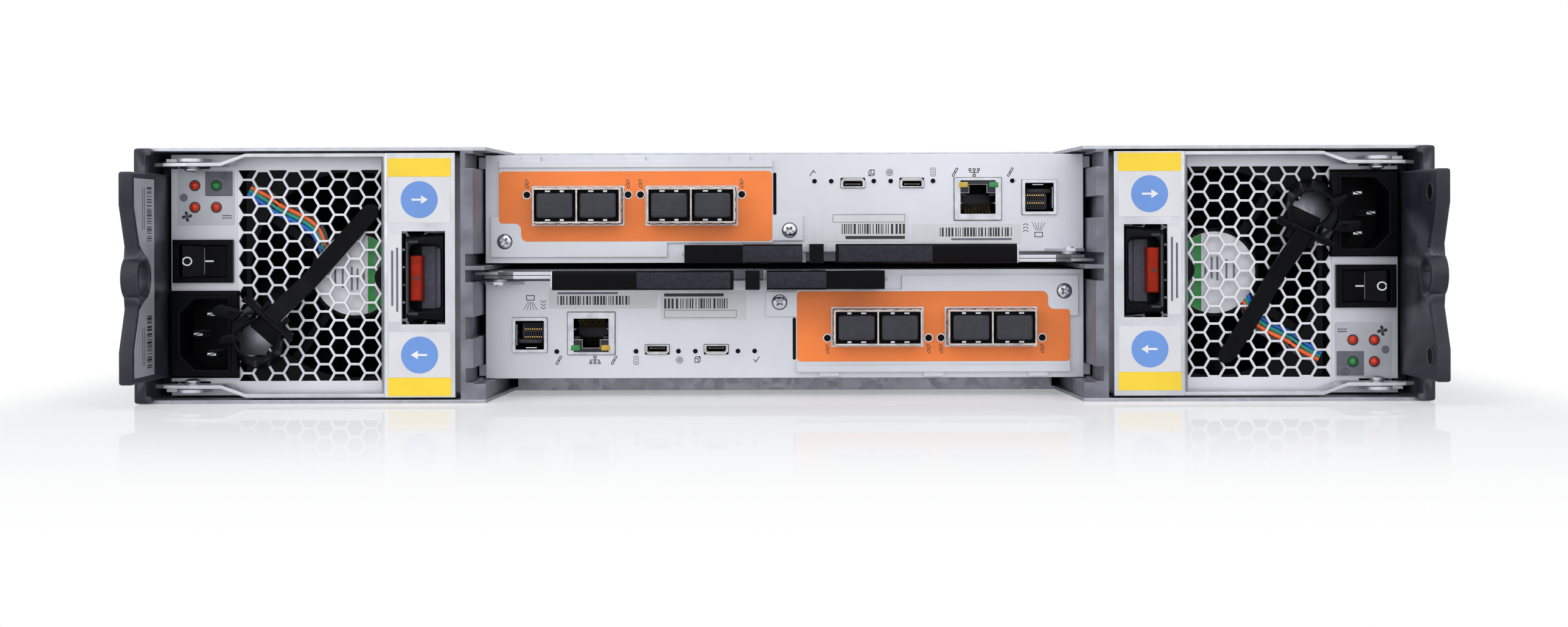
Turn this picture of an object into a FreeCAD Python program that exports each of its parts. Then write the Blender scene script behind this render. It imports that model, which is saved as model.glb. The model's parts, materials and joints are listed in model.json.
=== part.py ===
"""Disk shelf enclosure, 2U: a storage array seen from its connector side.

Two power supplies stand outside, two controllers lie one above the other between
them, and the drives plug in from the other end.  Millimetres, +Z up.  The origin is
the middle of the underside, -Y is the connector side, +Y the drive side.
"""
import FreeCAD, Part
import math
import os
from FreeCAD import Vector

# ---- overall sizes ------------------------------------------------------------
BODY_WIDTH = 443.0          # across the side walls
FLANGE_REACH = 19.8         # rack flange beyond the side wall
FLANGE_WIDTH = BODY_WIDTH + 2 * FLANGE_REACH
HEIGHT = 87.9
BODY_LENGTH = 576.8         # flange face to the rear edge of the side walls
BRACKET_REACH = 26.1        # rear brackets behind the side walls
GRIP_REACH = 27.5           # ear grips ahead of the flange face
SHEET = 1.2                 # chassis sheet
PLATE = 1.0                 # module sheet
RUN = 0.3                   # gap between neighbours that slide or drop in
PIN_GAP = 0.08              # radial gap of a pin in its hole
FACE_GAP = 0.1              # between faces that stand against each other

# ---- derived planes -------------------------------------------------------------
REAR_Y = -(BODY_LENGTH + BRACKET_REACH + GRIP_REACH) / 2 + BRACKET_REACH
FLANGE_Y = REAR_Y + BODY_LENGTH
WALL_OUT = BODY_WIDTH / 2
WALL_IN = WALL_OUT - SHEET
FLOOR = SHEET
CEILING = HEIGHT - SHEET

# ---- rear recess, guides and brackets ---------------------------------------------
RECESS_DEPTH = 55.0
RECESS_TAPER = 2.8          # the cut narrows by this much on each side
RECESS_LIP = 4.9            # bent-up edge across the recess
GUIDE_THICK = 4.3
GUIDE_FOOT = 4.2            # how far the foot reaches under the controller
GUIDE_WEB = 1.6             # left standing at the bottom of a guide slot
TONGUE = 1.4                # thin shelf between the two controllers
GUIDE_SHELF = 3.55          # the middle slot below the lower controller's top
GUIDE_GROOVE, GUIDE_GROOVE_TALL = 15.2, 7.5     # plain groove above the underside
BRACKET_THICK = 4.8
BRACKET_LOW, BRACKET_HEAD = 8.3, 8.9    # plate above the underside and below the top
BRACKET_CAP = 3.4           # depth of the cap that closes the wall's rear edge
BRACKET_CAP_OUT = 0.8       # cap proud of the side wall
BRACKET_CAP_IN = 1.9        # the cap reaches this far inside the plate's outer face
BRACKET_SKIN = 2.5
BRACKET_LIP = 5.8
BRACKET_WAIST = 5.8         # how far the rear edge steps in between the boss and the ends
BRACKET_END, BRACKET_RAMP = 11.0, 25.0  # end blocks and the foot of their ramps
BRACKET_STOP = 7.0
BRACKET_STOP_ROOM = 3.2     # stops to the outside of floor and cover
BRACKET_DEPTH = 27.0        # how far the plate runs into the chassis
BOSS_R = 7.5
BOSS_HOLE_R = 5.5
BOSS_SET_BACK = 2.1         # boss ahead of the rearmost edge
BOSS_PROUD = 0.8            # boss beyond the plate's inner face

# ---- controllers --------------------------------------------------------------------
CTRL_HALF = 106.1           # half the width of a controller
CTRL_SIDE_ROOM = 0.8        # controller to guide
CTRL_LOW = 6.8              # underside of the lower controller
CTRL_HEAD = 2.0             # from the upper controller to the top of the shelf
CTRL_GAP = 2.6              # between the two controllers
CTRL_SET_BACK = 22.5        # face behind the rear edge of the side walls
CTRL_RAIL = 2.8
LEVER_SET_BACK = 5.5
LEVER_TALL = 6.7
LEVER_DEEP = 8.0
LEVER_PIN_R = 1.5

CTRL_TALL = (HEIGHT - CTRL_HEAD - CTRL_LOW - CTRL_GAP) / 2
CTRL_TOP = CTRL_LOW + CTRL_TALL
CTRL_MID = CTRL_TOP + CTRL_GAP / 2
CTRL_STEP = CTRL_TOP - 3.8  # the service half of a face is lower
FACE_Y = REAR_Y + CTRL_SET_BACK
LEVER_Y = REAR_Y + LEVER_SET_BACK

# ---- power supplies -------------------------------------------------------------------
PSU_SIDE_ROOM = 6.2         # side wall to power supply
PSU_GUIDE_ROOM = 0.5        # power supply to guide
PSU_LIFT = 0.7              # floor to power supply, and the same under the cover
PSU_SET_BACK = 12.0         # panel behind the rear edge of the side walls
INLET_W, INLET_H = 16.6, 24.6
INLET_DEEP = 16.5
INLET_WALL = 1.3
INLET_RIM = 2.2
ROCKER_W, ROCKER_H = 16.2, 10.8
ROCKER_SWING = 9.0          # degrees each side of level
FAN_SIZE = 75.0
FAN_DEEP = 25.0
FAN_RIM = 1.5               # thinnest wall of the fan housing
FAN_BORE_R = FAN_SIZE / 2 - FAN_RIM
FAN_HUB_R = 15.5
FAN_SHAFT_R = 2.0
BLADES = 7
BLADE_CHORD = 20.0
BLADE_THICK = 1.4
BLADE_LEAN = 42.0           # degrees from the shaft
HEX_FLATS = 5.35
HEX_PITCH_X = 5.35
HEX_PITCH_Z = 6.14
HANDLE_SHEET = 1.2
CROSSBAR = 25.8             # width of the yoke's crossbar
YOKE_EDGE = 0.1             # the yoke's outer faces below the top of the case
ARM_DROP = 3.2              # the cranked end of an arm below the top of the case
CRANK_NEAR, CRANK_FAR = 11.3, 19.8      # the crank of an arm, from the pivot
LUG_SHEET = 1.2
CAM_REACH = 12.6            # cam tip from the pivot
LUG_R = 5.1                 # lug nose, inside the crank of the arm
PIVOT_PIN_R = 2.0
PIVOT_PIN_OVER = 0.6        # pin beyond the arm that it holds

PSU_OUT = -(WALL_OUT - SHEET - PSU_SIDE_ROOM)
PSU_IN = -(CTRL_HALF + CTRL_SIDE_ROOM + GUIDE_THICK + PSU_GUIDE_ROOM)
PSU_LOW = FLOOR + PSU_LIFT
PSU_TOP = CEILING - PSU_LIFT
PSU_MID = HEIGHT / 2
PANEL_Y = REAR_Y + PSU_SET_BACK
PANEL_BACK = PANEL_Y + PLATE
YOKE_Y = REAR_Y + 0.1
PIVOT = Vector(PSU_OUT + 9.1, PANEL_Y - 6.0, 0)

# ---- drive side -------------------------------------------------------------------------
COLUMNS, ROWS = 4, 3
DRIVE_BAY = 213.0           # midplane to flange face
BOARD = 2.4
MODULE_GAP = 10.6           # module end to midplane, filled by the connectors
CAGE_SHEET = 1.2
DIVIDER = 2.0
CAGE_SIDE_ROOM = 2.1
BEZEL_REACH = 19.0
BEZEL_DEEP = 34.0
EAR_SHEET = 2.0
EAR_LEG = 1.5
RACK_HOLE_INSET = 8.75      # hole centre from the flange's edge
RACK_HOLE_X = FLANGE_WIDTH / 2 - RACK_HOLE_INSET
RACK_HOLE_SPACING = 76.2
RACK_HOLE_R = 3.4

MIDPLANE_Y = FLANGE_Y - DRIVE_BAY - BOARD
MODULE_END = MIDPLANE_Y - MODULE_GAP
CAGE_HALF = WALL_IN - CAGE_SIDE_ROOM
COLUMN_PITCH = 2 * (CAGE_HALF - CAGE_SHEET) / COLUMNS
CAGE_FLOOR = FLOOR + CAGE_SHEET
ROW_PITCH = (CEILING - CAGE_FLOOR) / ROWS
CAGE_BACK = MIDPLANE_Y + BOARD + 0.4
CAGE_FRONT = FLANGE_Y - EAR_SHEET


# ---- small helpers ----------------------------------------------------------------------
def box(x0, x1, y0, y1, z0, z1):
    """A block between two corners, in any order."""
    low = Vector(min(x0, x1), min(y0, y1), min(z0, z1))
    return Part.makeBox(abs(x1 - x0), abs(y1 - y0), abs(z1 - z0), low)


def rod(radius, start, end):
    """A round bar from one point to another."""
    along = end - start
    return Part.makeCylinder(radius, along.Length, start, along)


def upright(points, y0, y1):
    """An (x, z) outline drawn in the plane y0 and pushed to y1."""
    corners = [Vector(x, y0, z) for x, z in points]
    face = Part.Face(Part.makePolygon(corners + corners[:1]))
    return face.extrude(Vector(0, y1 - y0, 0))


def flat(points, z0, z1):
    """An (x, y) outline drawn at z0 and pushed to z1."""
    corners = [Vector(x, y, z0) for x, y in points]
    face = Part.Face(Part.makePolygon(corners + corners[:1]))
    return face.extrude(Vector(0, 0, z1 - z0))


def sideways(points, x0, x1):
    """A (y, z) outline drawn at x0 and pushed to x1."""
    corners = [Vector(x0, y, z) for y, z in points]
    face = Part.Face(Part.makePolygon(corners + corners[:1]))
    return face.extrude(Vector(x1 - x0, 0, 0))


def join(shapes):
    """One solid from pieces that touch or overlap."""
    whole = shapes[0].fuse(shapes[1:]) if len(shapes) > 1 else shapes[0]
    return whole.removeSplitter()


def mirrored(shape):
    """The copy on the other side of the plane x = 0."""
    return shape.mirror(Vector(0, 0, 0), Vector(1, 0, 0))


def half_turn(shape, z_mid):
    """The copy turned half way round the Y axis at height z_mid."""
    copy = shape.copy()
    copy.rotate(Vector(0, 0, z_mid), Vector(0, 1, 0), 180)
    return copy


def both_ends(shape):
    """A power supply piece and its copy mirrored from top to bottom."""
    return [shape, shape.mirror(Vector(0, 0, PSU_MID), Vector(0, 0, 1))]


def rounded(shape, radius, pick):
    """Round every edge for which pick(edge) is true."""
    return shape.makeFillet(radius, [edge for edge in shape.Edges if pick(edge)])


def runs_along(edge, axis):
    """True when a straight edge is parallel to the axis vector."""
    if not isinstance(edge.Curve, Part.Line):
        return False
    return abs(abs(edge.tangentAt(edge.FirstParameter).dot(axis)) - 1) < 1e-6


X_AXIS, Y_AXIS, Z_AXIS = Vector(1, 0, 0), Vector(0, 1, 0), Vector(0, 0, 1)


# ---- chassis ----------------------------------------------------------------------------
def recess_outline():
    half = CTRL_HALF - 3.4
    near, far = REAR_Y - 1, REAR_Y + RECESS_DEPTH
    return [(-half, near), (half, near), (half - RECESS_TAPER, far), (RECESS_TAPER - half, far)]


def chassis_tray():
    front = CAGE_FRONT
    floor = box(-WALL_OUT, WALL_OUT, REAR_Y, front, 0, FLOOR)
    floor = floor.cut(flat(recess_outline(), -1, FLOOR + 1))
    lip_half = CTRL_HALF - 7.2
    lip_y = REAR_Y + RECESS_DEPTH
    lip = box(-lip_half, lip_half, lip_y, lip_y + SHEET, 0, FLOOR + RECESS_LIP)
    pieces = [floor, lip]
    for side in (-1, 1):
        pieces.append(box(side * WALL_OUT, side * WALL_IN, REAR_Y, front, 0, CEILING))
        hem_in = WALL_IN - PSU_SIDE_ROOM + 1.0
        pieces.append(box(side * hem_in, side * WALL_IN, REAR_Y + BRACKET_DEPTH + 8, MODULE_END,
                          CEILING - SHEET, CEILING))
        rail_in = side * (WALL_IN - PSU_SIDE_ROOM + 0.6)
        start, end = REAR_Y + BRACKET_DEPTH + 8, MODULE_END
        for z in (HEIGHT * 0.3, HEIGHT * 0.7):
            pieces.append(box(rail_in, side * WALL_IN, start, end, z - SHEET, z))
        pieces.append(box(rail_in, rail_in + side * SHEET, start, end, HEIGHT * 0.3, HEIGHT * 0.7))
    return join(pieces)


def top_cover():
    cover = box(-WALL_OUT, WALL_OUT, REAR_Y, CAGE_FRONT, CEILING, HEIGHT)
    return cover.cut(flat(recess_outline(), CEILING - 1, HEIGHT + 1))


def rear_bracket():
    """The left one: a plate with stepped ends, a boss with a cross hole and an end cap."""
    low, high = BRACKET_LOW, HEIGHT - BRACKET_HEAD
    rear = REAR_Y - BRACKET_REACH
    waist = rear + BRACKET_WAIST
    front = REAR_Y + BRACKET_DEPTH
    mid = (low + high) / 2
    outer = -(WALL_IN - RUN)
    inner = outer + BRACKET_THICK
    plate = sideways([(front, low), (front, high), (rear, high), (rear, high - BRACKET_END),
                      (waist, high - BRACKET_RAMP), (waist, low + BRACKET_RAMP),
                      (rear, low + BRACKET_END), (rear, low)], outer, inner)
    out = -(WALL_OUT + BRACKET_CAP_OUT)
    seat = REAR_Y - FACE_GAP
    bottom, top = RUN, HEIGHT - RUN
    cap = box(out, outer + BRACKET_CAP_IN, seat - BRACKET_CAP, seat, bottom, top)
    lips = [box(out, out + BRACKET_LIP, seat - BRACKET_CAP, seat, z, z + BRACKET_SKIN)
            for z in (bottom, top - BRACKET_SKIN)]
    boss_y = rear + BOSS_SET_BACK + BOSS_R
    boss = rod(BOSS_R, Vector(outer, boss_y, mid), Vector(inner + BOSS_PROUD, boss_y, mid))
    stops = [box(inner, outer, front - BRACKET_STOP, front, z0, z1)
             for z0, z1 in ((high, HEIGHT - BRACKET_STOP_ROOM), (BRACKET_STOP_ROOM, low))]
    body = join([plate, cap, boss] + lips + stops)
    hole = rod(BOSS_HOLE_R, Vector(outer - 1, boss_y, mid), Vector(inner + BOSS_PROUD + 1, boss_y, mid))
    return body.cut(hole)


GUIDE_INSIDE = CTRL_HALF + CTRL_SIDE_ROOM
GUIDE_OUTSIDE = GUIDE_INSIDE + GUIDE_THICK


def guide_slots():
    """Levels of the slots in the left guide, from the lower controller's rails and levers."""
    top = 2 * CTRL_MID
    return [(CTRL_LOW + 0.2, CTRL_LOW + 5.2), (top - CTRL_LOW - 5.2, top - CTRL_LOW - 0.2),
            (CTRL_TOP - GUIDE_SHELF, top - CTRL_TOP + GUIDE_SHELF),
            (CTRL_LOW + GUIDE_GROOVE, CTRL_LOW + GUIDE_GROOVE + GUIDE_GROOVE_TALL)]


def bay_guide(slots):
    """The left one: a slotted rail that carries the edges of both controllers."""
    end = MODULE_END - 1.5
    rail = box(-GUIDE_OUTSIDE, -GUIDE_INSIDE, REAR_Y, end, FLOOR, CEILING)
    foot = box(-GUIDE_OUTSIDE, -(CTRL_HALF - 3.4), REAR_Y, end, FLOOR, CTRL_LOW - RUN)
    tongue = box(-GUIDE_OUTSIDE, -(CTRL_HALF - 3.1), REAR_Y, end, CTRL_MID - TONGUE / 2,
                 CTRL_MID + TONGUE / 2)
    for z0, z1 in slots:
        rail = rail.cut(box(GUIDE_WEB - GUIDE_OUTSIDE, 1 - GUIDE_INSIDE, REAR_Y - 1, end + 1, z0, z1))
    return join([rail, foot, tongue])


def bay_guides():
    """The left guide, and the right one with the same slots turned half way round."""
    turned = [(2 * CTRL_MID - z1, 2 * CTRL_MID - z0) for z0, z1 in guide_slots()]
    return [bay_guide(guide_slots()), mirrored(bay_guide(turned))]


def rack_flange():
    """The left one: an angle whose leg lies inside the side wall."""
    flange = box(-FLANGE_WIDTH / 2, -(WALL_IN - EAR_LEG), CAGE_FRONT, FLANGE_Y, 1.0, HEIGHT - 1.0)
    flange = rounded(flange, 3.0, lambda e: runs_along(e, Y_AXIS) and e.CenterOfMass.x < -WALL_OUT)
    leg = box(-WALL_IN, -(WALL_IN - EAR_LEG), CAGE_FRONT - 60, CAGE_FRONT, 4.0, HEIGHT - 4.0)
    body = join([flange, leg])
    for side in (-1, 1):
        z = PSU_MID + side * RACK_HOLE_SPACING / 2
        body = body.cut(rod(RACK_HOLE_R, Vector(-RACK_HOLE_X, CAGE_FRONT - 1, z),
                            Vector(-RACK_HOLE_X, FLANGE_Y + 1, z)))
    return body


def ear_grip():
    """The left one: a moulding that stands on the flange between its screw holes."""
    out, inner = -FLANGE_WIDTH / 2 + 0.6, -WALL_OUT - 0.4
    tip = FLANGE_Y + GRIP_REACH
    low, high = PSU_MID - 30.0, PSU_MID + 30.0
    outline = [(out, FLANGE_Y), (out, tip - 8), (out + 5, tip), (inner - 3, tip), (inner, tip - 3),
               (inner, tip - 7), (inner - 6, tip - 12), (inner - 6, FLANGE_Y + 8), (inner, FLANGE_Y + 4),
               (inner, FLANGE_Y)]
    grip = flat(outline, low, high)
    return rounded(grip, 2.0, lambda e: runs_along(e, Z_AXIS) and e.CenterOfMass.y > tip - 9)


# ---- drive side --------------------------------------------------------------------------
def column_x(column):
    return -CAGE_HALF + CAGE_SHEET + COLUMN_PITCH * (column + 0.5)


def row_z(row):
    return CAGE_FLOOR + ROW_PITCH * (row + 0.5)


def drive_cage():
    low = FLOOR
    plates = [box(-CAGE_HALF, CAGE_HALF, CAGE_BACK, CAGE_FRONT, low, CAGE_FLOOR)]
    for side in (-1, 1):
        plates.append(box(side * CAGE_HALF, side * (CAGE_HALF - CAGE_SHEET), CAGE_BACK, CAGE_FRONT,
                          low, CEILING))
    for column in range(1, COLUMNS):
        x = column_x(column) - COLUMN_PITCH / 2
        plates.append(box(x - DIVIDER / 2, x + DIVIDER / 2, CAGE_BACK, CAGE_FRONT, low, CEILING))
    for row in range(1, ROWS):
        z = row_z(row) - ROW_PITCH / 2
        for column in range(COLUMNS):
            for side in (-1, 1):
                wall = column_x(column) + side * COLUMN_PITCH / 2
                plates.append(box(wall, wall - side * 4.0, CAGE_BACK + 6, CAGE_FRONT - 8,
                                  z - 0.6, z + 0.6))
    return join(plates)


def midplane_board():
    half = CAGE_HALF - 2.0
    board = box(-half, half, MIDPLANE_Y, MIDPLANE_Y + BOARD, FLOOR + RUN, CEILING - RUN)
    for column in range(COLUMNS):
        for row in range(ROWS):
            x, z = column_x(column), row_z(row)
            board = board.cut(box(x + 2, x + 40, MIDPLANE_Y - 1, MIDPLANE_Y + BOARD + 1,
                                  z - 7, z + 7))
    pieces = [board]
    for column in range(COLUMNS):
        for row in range(ROWS):
            x, z = column_x(column), row_z(row)
            pieces.append(box(x - 42, x - 8, MIDPLANE_Y + BOARD, MIDPLANE_Y + BOARD + 6,
                              z - 3, z + 3))
    plug_y = MODULE_END + 0.4
    for z in (CTRL_LOW + CTRL_TALL / 2, 2 * CTRL_MID - CTRL_LOW - CTRL_TALL / 2):
        for x in (-62, 62):
            pieces.append(box(x - 22, x + 22, plug_y, MIDPLANE_Y, z - 8, z + 8))
    for side in (-1, 1):
        x = side * (PSU_IN + PSU_OUT) / 2
        pieces.append(box(x - 25, x + 25, plug_y, MIDPLANE_Y, PSU_MID - 7, PSU_MID + 7))
    return join(pieces)


def drive_blank(column, row):
    """A filler for an empty bay: a slotted front with a shallow skirt."""
    x, z = column_x(column), row_z(row)
    half_w = (COLUMN_PITCH - DIVIDER) / 2 - 0.4
    half_h = ROW_PITCH / 2 - 0.9
    front = FLANGE_Y + BEZEL_REACH
    back = front - BEZEL_DEEP
    body = box(x - half_w, x + half_w, back, front, z - half_h, z + half_h)
    body = body.cut(box(x - half_w + 1.5, x + half_w - 1.5, back - 1, front - 2,
                        z - half_h + 1.5, z + half_h - 1.5))
    for step in range(-2, 3):
        body = body.cut(box(x + step * 18 - 7, x + step * 18 + 7, front - 3, front + 1, z - 4, z + 4))
    return body


def drive_carrier(column, row):
    """A tray with a bezel and a disk in it, as two solids."""
    x, z = column_x(column), row_z(row)
    half_w = (COLUMN_PITCH - DIVIDER) / 2 - 0.4
    half_h = ROW_PITCH / 2 - 0.9
    front = FLANGE_Y + BEZEL_REACH
    back = CAGE_BACK + 7.5
    bezel = box(x - half_w, x + half_w, front - BEZEL_DEEP, front - 6, z - half_h, z + half_h)
    pocket = box(x - half_w + 2, x + half_w - 12, front - 14, front, z - half_h + 2, z + half_h - 2)
    bezel = bezel.cut(pocket)
    status = box(x + half_w - 11, x + half_w, front - 6, front, z - half_h, z + half_h)
    rails = [box(x + side * half_w, x + side * (half_w - 1.4), back, front - BEZEL_DEEP,
                 z - half_h, z + half_h - 4) for side in (-1, 1)]
    floor = box(x - half_w, x + half_w, back, front - BEZEL_DEEP, z - half_h, z - half_h + 1.0)
    hinge = hinge_point(column, row)
    ears = [box(x - half_w, hinge.x + 3.4, front - 14, hinge.y + 2.2, z + side * half_h,
                z + side * (half_h - 2)) for side in (-1, 1)]
    pin = rod(1.5, Vector(hinge.x, hinge.y, z - half_h + 1.9), Vector(hinge.x, hinge.y, z + half_h - 1.9))
    tray = join([bezel, status, floor] + rails + ears + [pin])
    disk = box(x - 50.8, x + 50.8, back + 0.5, back + 147.5, z - half_h + 1.0, z + half_h - 1.0)
    return [tray, disk]


def hinge_point(column, row):
    """Where a carrier's lever turns: near the left end of the bezel."""
    half_w = (COLUMN_PITCH - DIVIDER) / 2 - 0.4
    return Vector(column_x(column) - half_w + 4.6, FLANGE_Y + BEZEL_REACH - 4.2, row_z(row))


def carrier_lever(column, row):
    """The swinging front of a carrier: a slotted bar on an upright pin."""
    x, z = column_x(column), row_z(row)
    half_w = (COLUMN_PITCH - DIVIDER) / 2 - 0.4
    half_h = ROW_PITCH / 2 - 3.3
    hinge = hinge_point(column, row)
    knuckle = rod(3.0, Vector(hinge.x, hinge.y, z - half_h), Vector(hinge.x, hinge.y, z + half_h))
    bar = box(hinge.x, x + half_w - 13, hinge.y + 0.8, hinge.y + 3.0, z - half_h, z + half_h)
    tail = box(x + half_w - 17, x + half_w - 13, hinge.y - 3.0, hinge.y + 3.0, z - half_h, z + half_h)
    body = join([knuckle, bar, tail])
    for step in range(8):
        left = hinge.x + 10 + step * 8.5
        body = body.cut(box(left, left + 5.5, hinge.y, hinge.y + 4, z - 5, z + 5))
    bore = rod(1.5 + PIN_GAP, Vector(hinge.x, hinge.y, z - half_h - 1),
               Vector(hinge.x, hinge.y, z + half_h + 1))
    return body.cut(bore)


# ---- power supply (the left one) -----------------------------------------------------------
INLET_FLANGE_X, INLET_FLANGE_Z = 3.7, 2.9
INLET_X = PSU_OUT + INLET_FLANGE_X - FACE_GAP + INLET_W / 2
GRILLE_LEFT = INLET_X + INLET_W / 2 + 2.9
INLET_Z = PSU_LOW + 21.4
ROCKER_X = PSU_OUT + 11.3
ROCKER_Z = PSU_MID + 4.85
FAN_SIDE_ROOM = 0.4         # fan to the inner wall of the case
FAN_X = PSU_IN - PLATE - FAN_SIDE_ROOM - FAN_SIZE / 2
BUMPER_R = 4.75
LAMP_R = 1.55


def psu_lamp_centres():
    return [Vector(PSU_OUT + dx, PANEL_Y, PSU_TOP - dz)
            for dx in (8.3, 15.8) for dz in (10.8, 18.4)]


def psu_case():
    """Sheet can with the solid strip of the rear panel and the two pivot lugs."""
    outer = box(PSU_OUT, PSU_IN, PANEL_BACK, MODULE_END, PSU_LOW, PSU_TOP)
    inner = box(PSU_OUT + PLATE, PSU_IN - PLATE, PANEL_BACK - 1, MODULE_END - PLATE,
                PSU_LOW + PLATE, PSU_TOP - PLATE)
    strip = box(PSU_OUT, GRILLE_LEFT, PANEL_Y, PANEL_BACK, PSU_LOW, PSU_TOP)
    case = outer.cut(inner)
    lugs, pins = [], []
    for z0, z1, p0, p1 in pivot_levels():
        centre, top = Vector(PIVOT.x, PIVOT.y, z0), Vector(PIVOT.x, PIVOT.y, z1)
        root = box(PSU_OUT, PIVOT.x + LUG_R, PIVOT.y, PANEL_Y + 0.5, z0, z1)
        lugs += [rod(LUG_R, centre, top), rod(9.0, centre, top).common(root)]
        pins.append(rod(PIVOT_PIN_R, Vector(PIVOT.x, PIVOT.y, p0), Vector(PIVOT.x, PIVOT.y, p1)))
    case = join([case, strip])
    arm_low = PSU_TOP - ARM_DROP
    cam_slot = box(PSU_OUT - 1, PIVOT.x + 4.5, PANEL_Y - 1, PIVOT.y + CAM_REACH + 0.7,
                   arm_low - HANDLE_SHEET - 0.5, arm_low + 0.25)
    for slot in both_ends(cam_slot):
        case = case.cut(slot)
    case = join([case] + lugs + pins)
    grow = INLET_WALL + 0.2
    case = case.cut(box(INLET_X - INLET_W / 2 - grow, INLET_X + INLET_W / 2 + grow, PANEL_Y - 0.5,
                        PANEL_BACK + 0.5, INLET_Z - INLET_H / 2 - grow, INLET_Z + INLET_H / 2 + grow))
    case = case.cut(box(ROCKER_X - 9.5, ROCKER_X + 9.5, PANEL_Y - 0.5, PANEL_BACK + 0.5,
                        ROCKER_Z - 6.9, ROCKER_Z + 6.9))
    return case


def pivot_levels():
    """Heights of the two lugs and of the pins that stand on them."""
    lug0 = PSU_TOP - ARM_DROP + RUN
    lug1 = lug0 + LUG_SHEET
    both = [(lug0, lug1, PSU_TOP - ARM_DROP - HANDLE_SHEET - PIVOT_PIN_OVER, lug1)]
    both.append(tuple(2 * PSU_MID - z for z in (lug1, lug0, lug1, both[0][2])))
    return both


def clipped(points, limit, keep_below):
    """The part of an (x, z) polygon on one side of the level z = limit."""
    kept = []
    for (x0, z0), (x1, z1) in zip(points, points[1:] + points[:1]):
        in0, in1 = (z0 <= limit) == keep_below, (z1 <= limit) == keep_below
        if in0:
            kept.append((x0, z0))
        if in0 != in1:
            share = (limit - z0) / (z1 - z0)
            kept.append((x0 + share * (x1 - x0), limit))
    return kept


def psu_grille():
    """The perforated part of the rear panel: flat-topped hexagons in staggered columns."""
    left, right = GRILLE_LEFT, PSU_IN
    low, high = PSU_LOW + 5.0, PSU_TOP - 5.5
    reach = HEX_FLATS / math.sqrt(3)
    corners = [(reach * math.cos(math.radians(60 * k)), reach * math.sin(math.radians(60 * k)))
               for k in range(6)]
    sheet = Part.makePolygon([Vector(x, PANEL_Y, z) for x, z in
                              [(left, PSU_LOW), (right, PSU_LOW), (right, PSU_TOP), (left, PSU_TOP),
                               (left, PSU_LOW)]])
    wires = [sheet]
    columns = int((right - left - 6.0) / HEX_PITCH_X)
    for column in range(columns):
        x = left + 3.5 + column * HEX_PITCH_X
        shift = 0.0 if column % 2 == 0 else -HEX_PITCH_Z / 2
        count = int((high - low) / HEX_PITCH_Z) + 2
        for row in range(-1, count):
            z = high - 6.4 + shift - row * HEX_PITCH_Z
            cell = [(x + dx, z + dz) for dx, dz in corners]
            cell = clipped(clipped(cell, high, True) if cell else cell, low, False)
            if len(cell) < 3 or max(p[1] for p in cell) - min(p[1] for p in cell) < 1.5:
                continue
            loop = [Vector(px, PANEL_Y, pz) for px, pz in cell]
            wires.append(Part.makePolygon(loop + loop[:1]))
    return Part.makeFace(wires, "Part::FaceMakerCheese").extrude(Vector(0, PLATE, 0))


def psu_inlet():
    """Mains inlet: a rimmed well with chamfered corners on the earth side, and three pins."""
    front = PANEL_Y - INLET_RIM
    back = front + INLET_DEEP + 4
    half_w, half_h = INLET_W / 2, INLET_H / 2
    rim = box(INLET_X - half_w - INLET_FLANGE_X, INLET_X + half_w + INLET_FLANGE_X, front, PANEL_Y,
              INLET_Z - half_h - INLET_FLANGE_Z, INLET_Z + half_h + INLET_FLANGE_Z)
    rim = rounded(rim, 1.0, lambda e: e.CenterOfMass.y < front + 0.01)
    well = box(INLET_X - half_w - INLET_WALL, INLET_X + half_w + INLET_WALL, PANEL_Y, back,
               INLET_Z - half_h - INLET_WALL, INLET_Z + half_h + INLET_WALL)
    cut = 5.0
    mouth = [(INLET_X + half_w, INLET_Z - half_h), (INLET_X + half_w, INLET_Z + half_h),
             (INLET_X - half_w + cut, INLET_Z + half_h), (INLET_X - half_w, INLET_Z + half_h - cut),
             (INLET_X - half_w, INLET_Z - half_h + cut), (INLET_X - half_w + cut, INLET_Z - half_h)]
    body = join([rim, well]).cut(upright(mouth, front - 1, front + INLET_DEEP))
    floor_y = front + INLET_DEEP
    pins = [box(x - 2.0, x + 2.0, front + 2.5, floor_y, z - 1.0, z + 1.0)
            for x, z in inlet_pin_places()]
    return join([body] + pins)


def inlet_pin_places():
    return [(INLET_X - 2.6, INLET_Z), (INLET_X + 2.1, INLET_Z - 7.0), (INLET_X + 2.1, INLET_Z + 7.0)]


ROCKER_PIVOT_Y = PANEL_Y + 0.6


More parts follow.
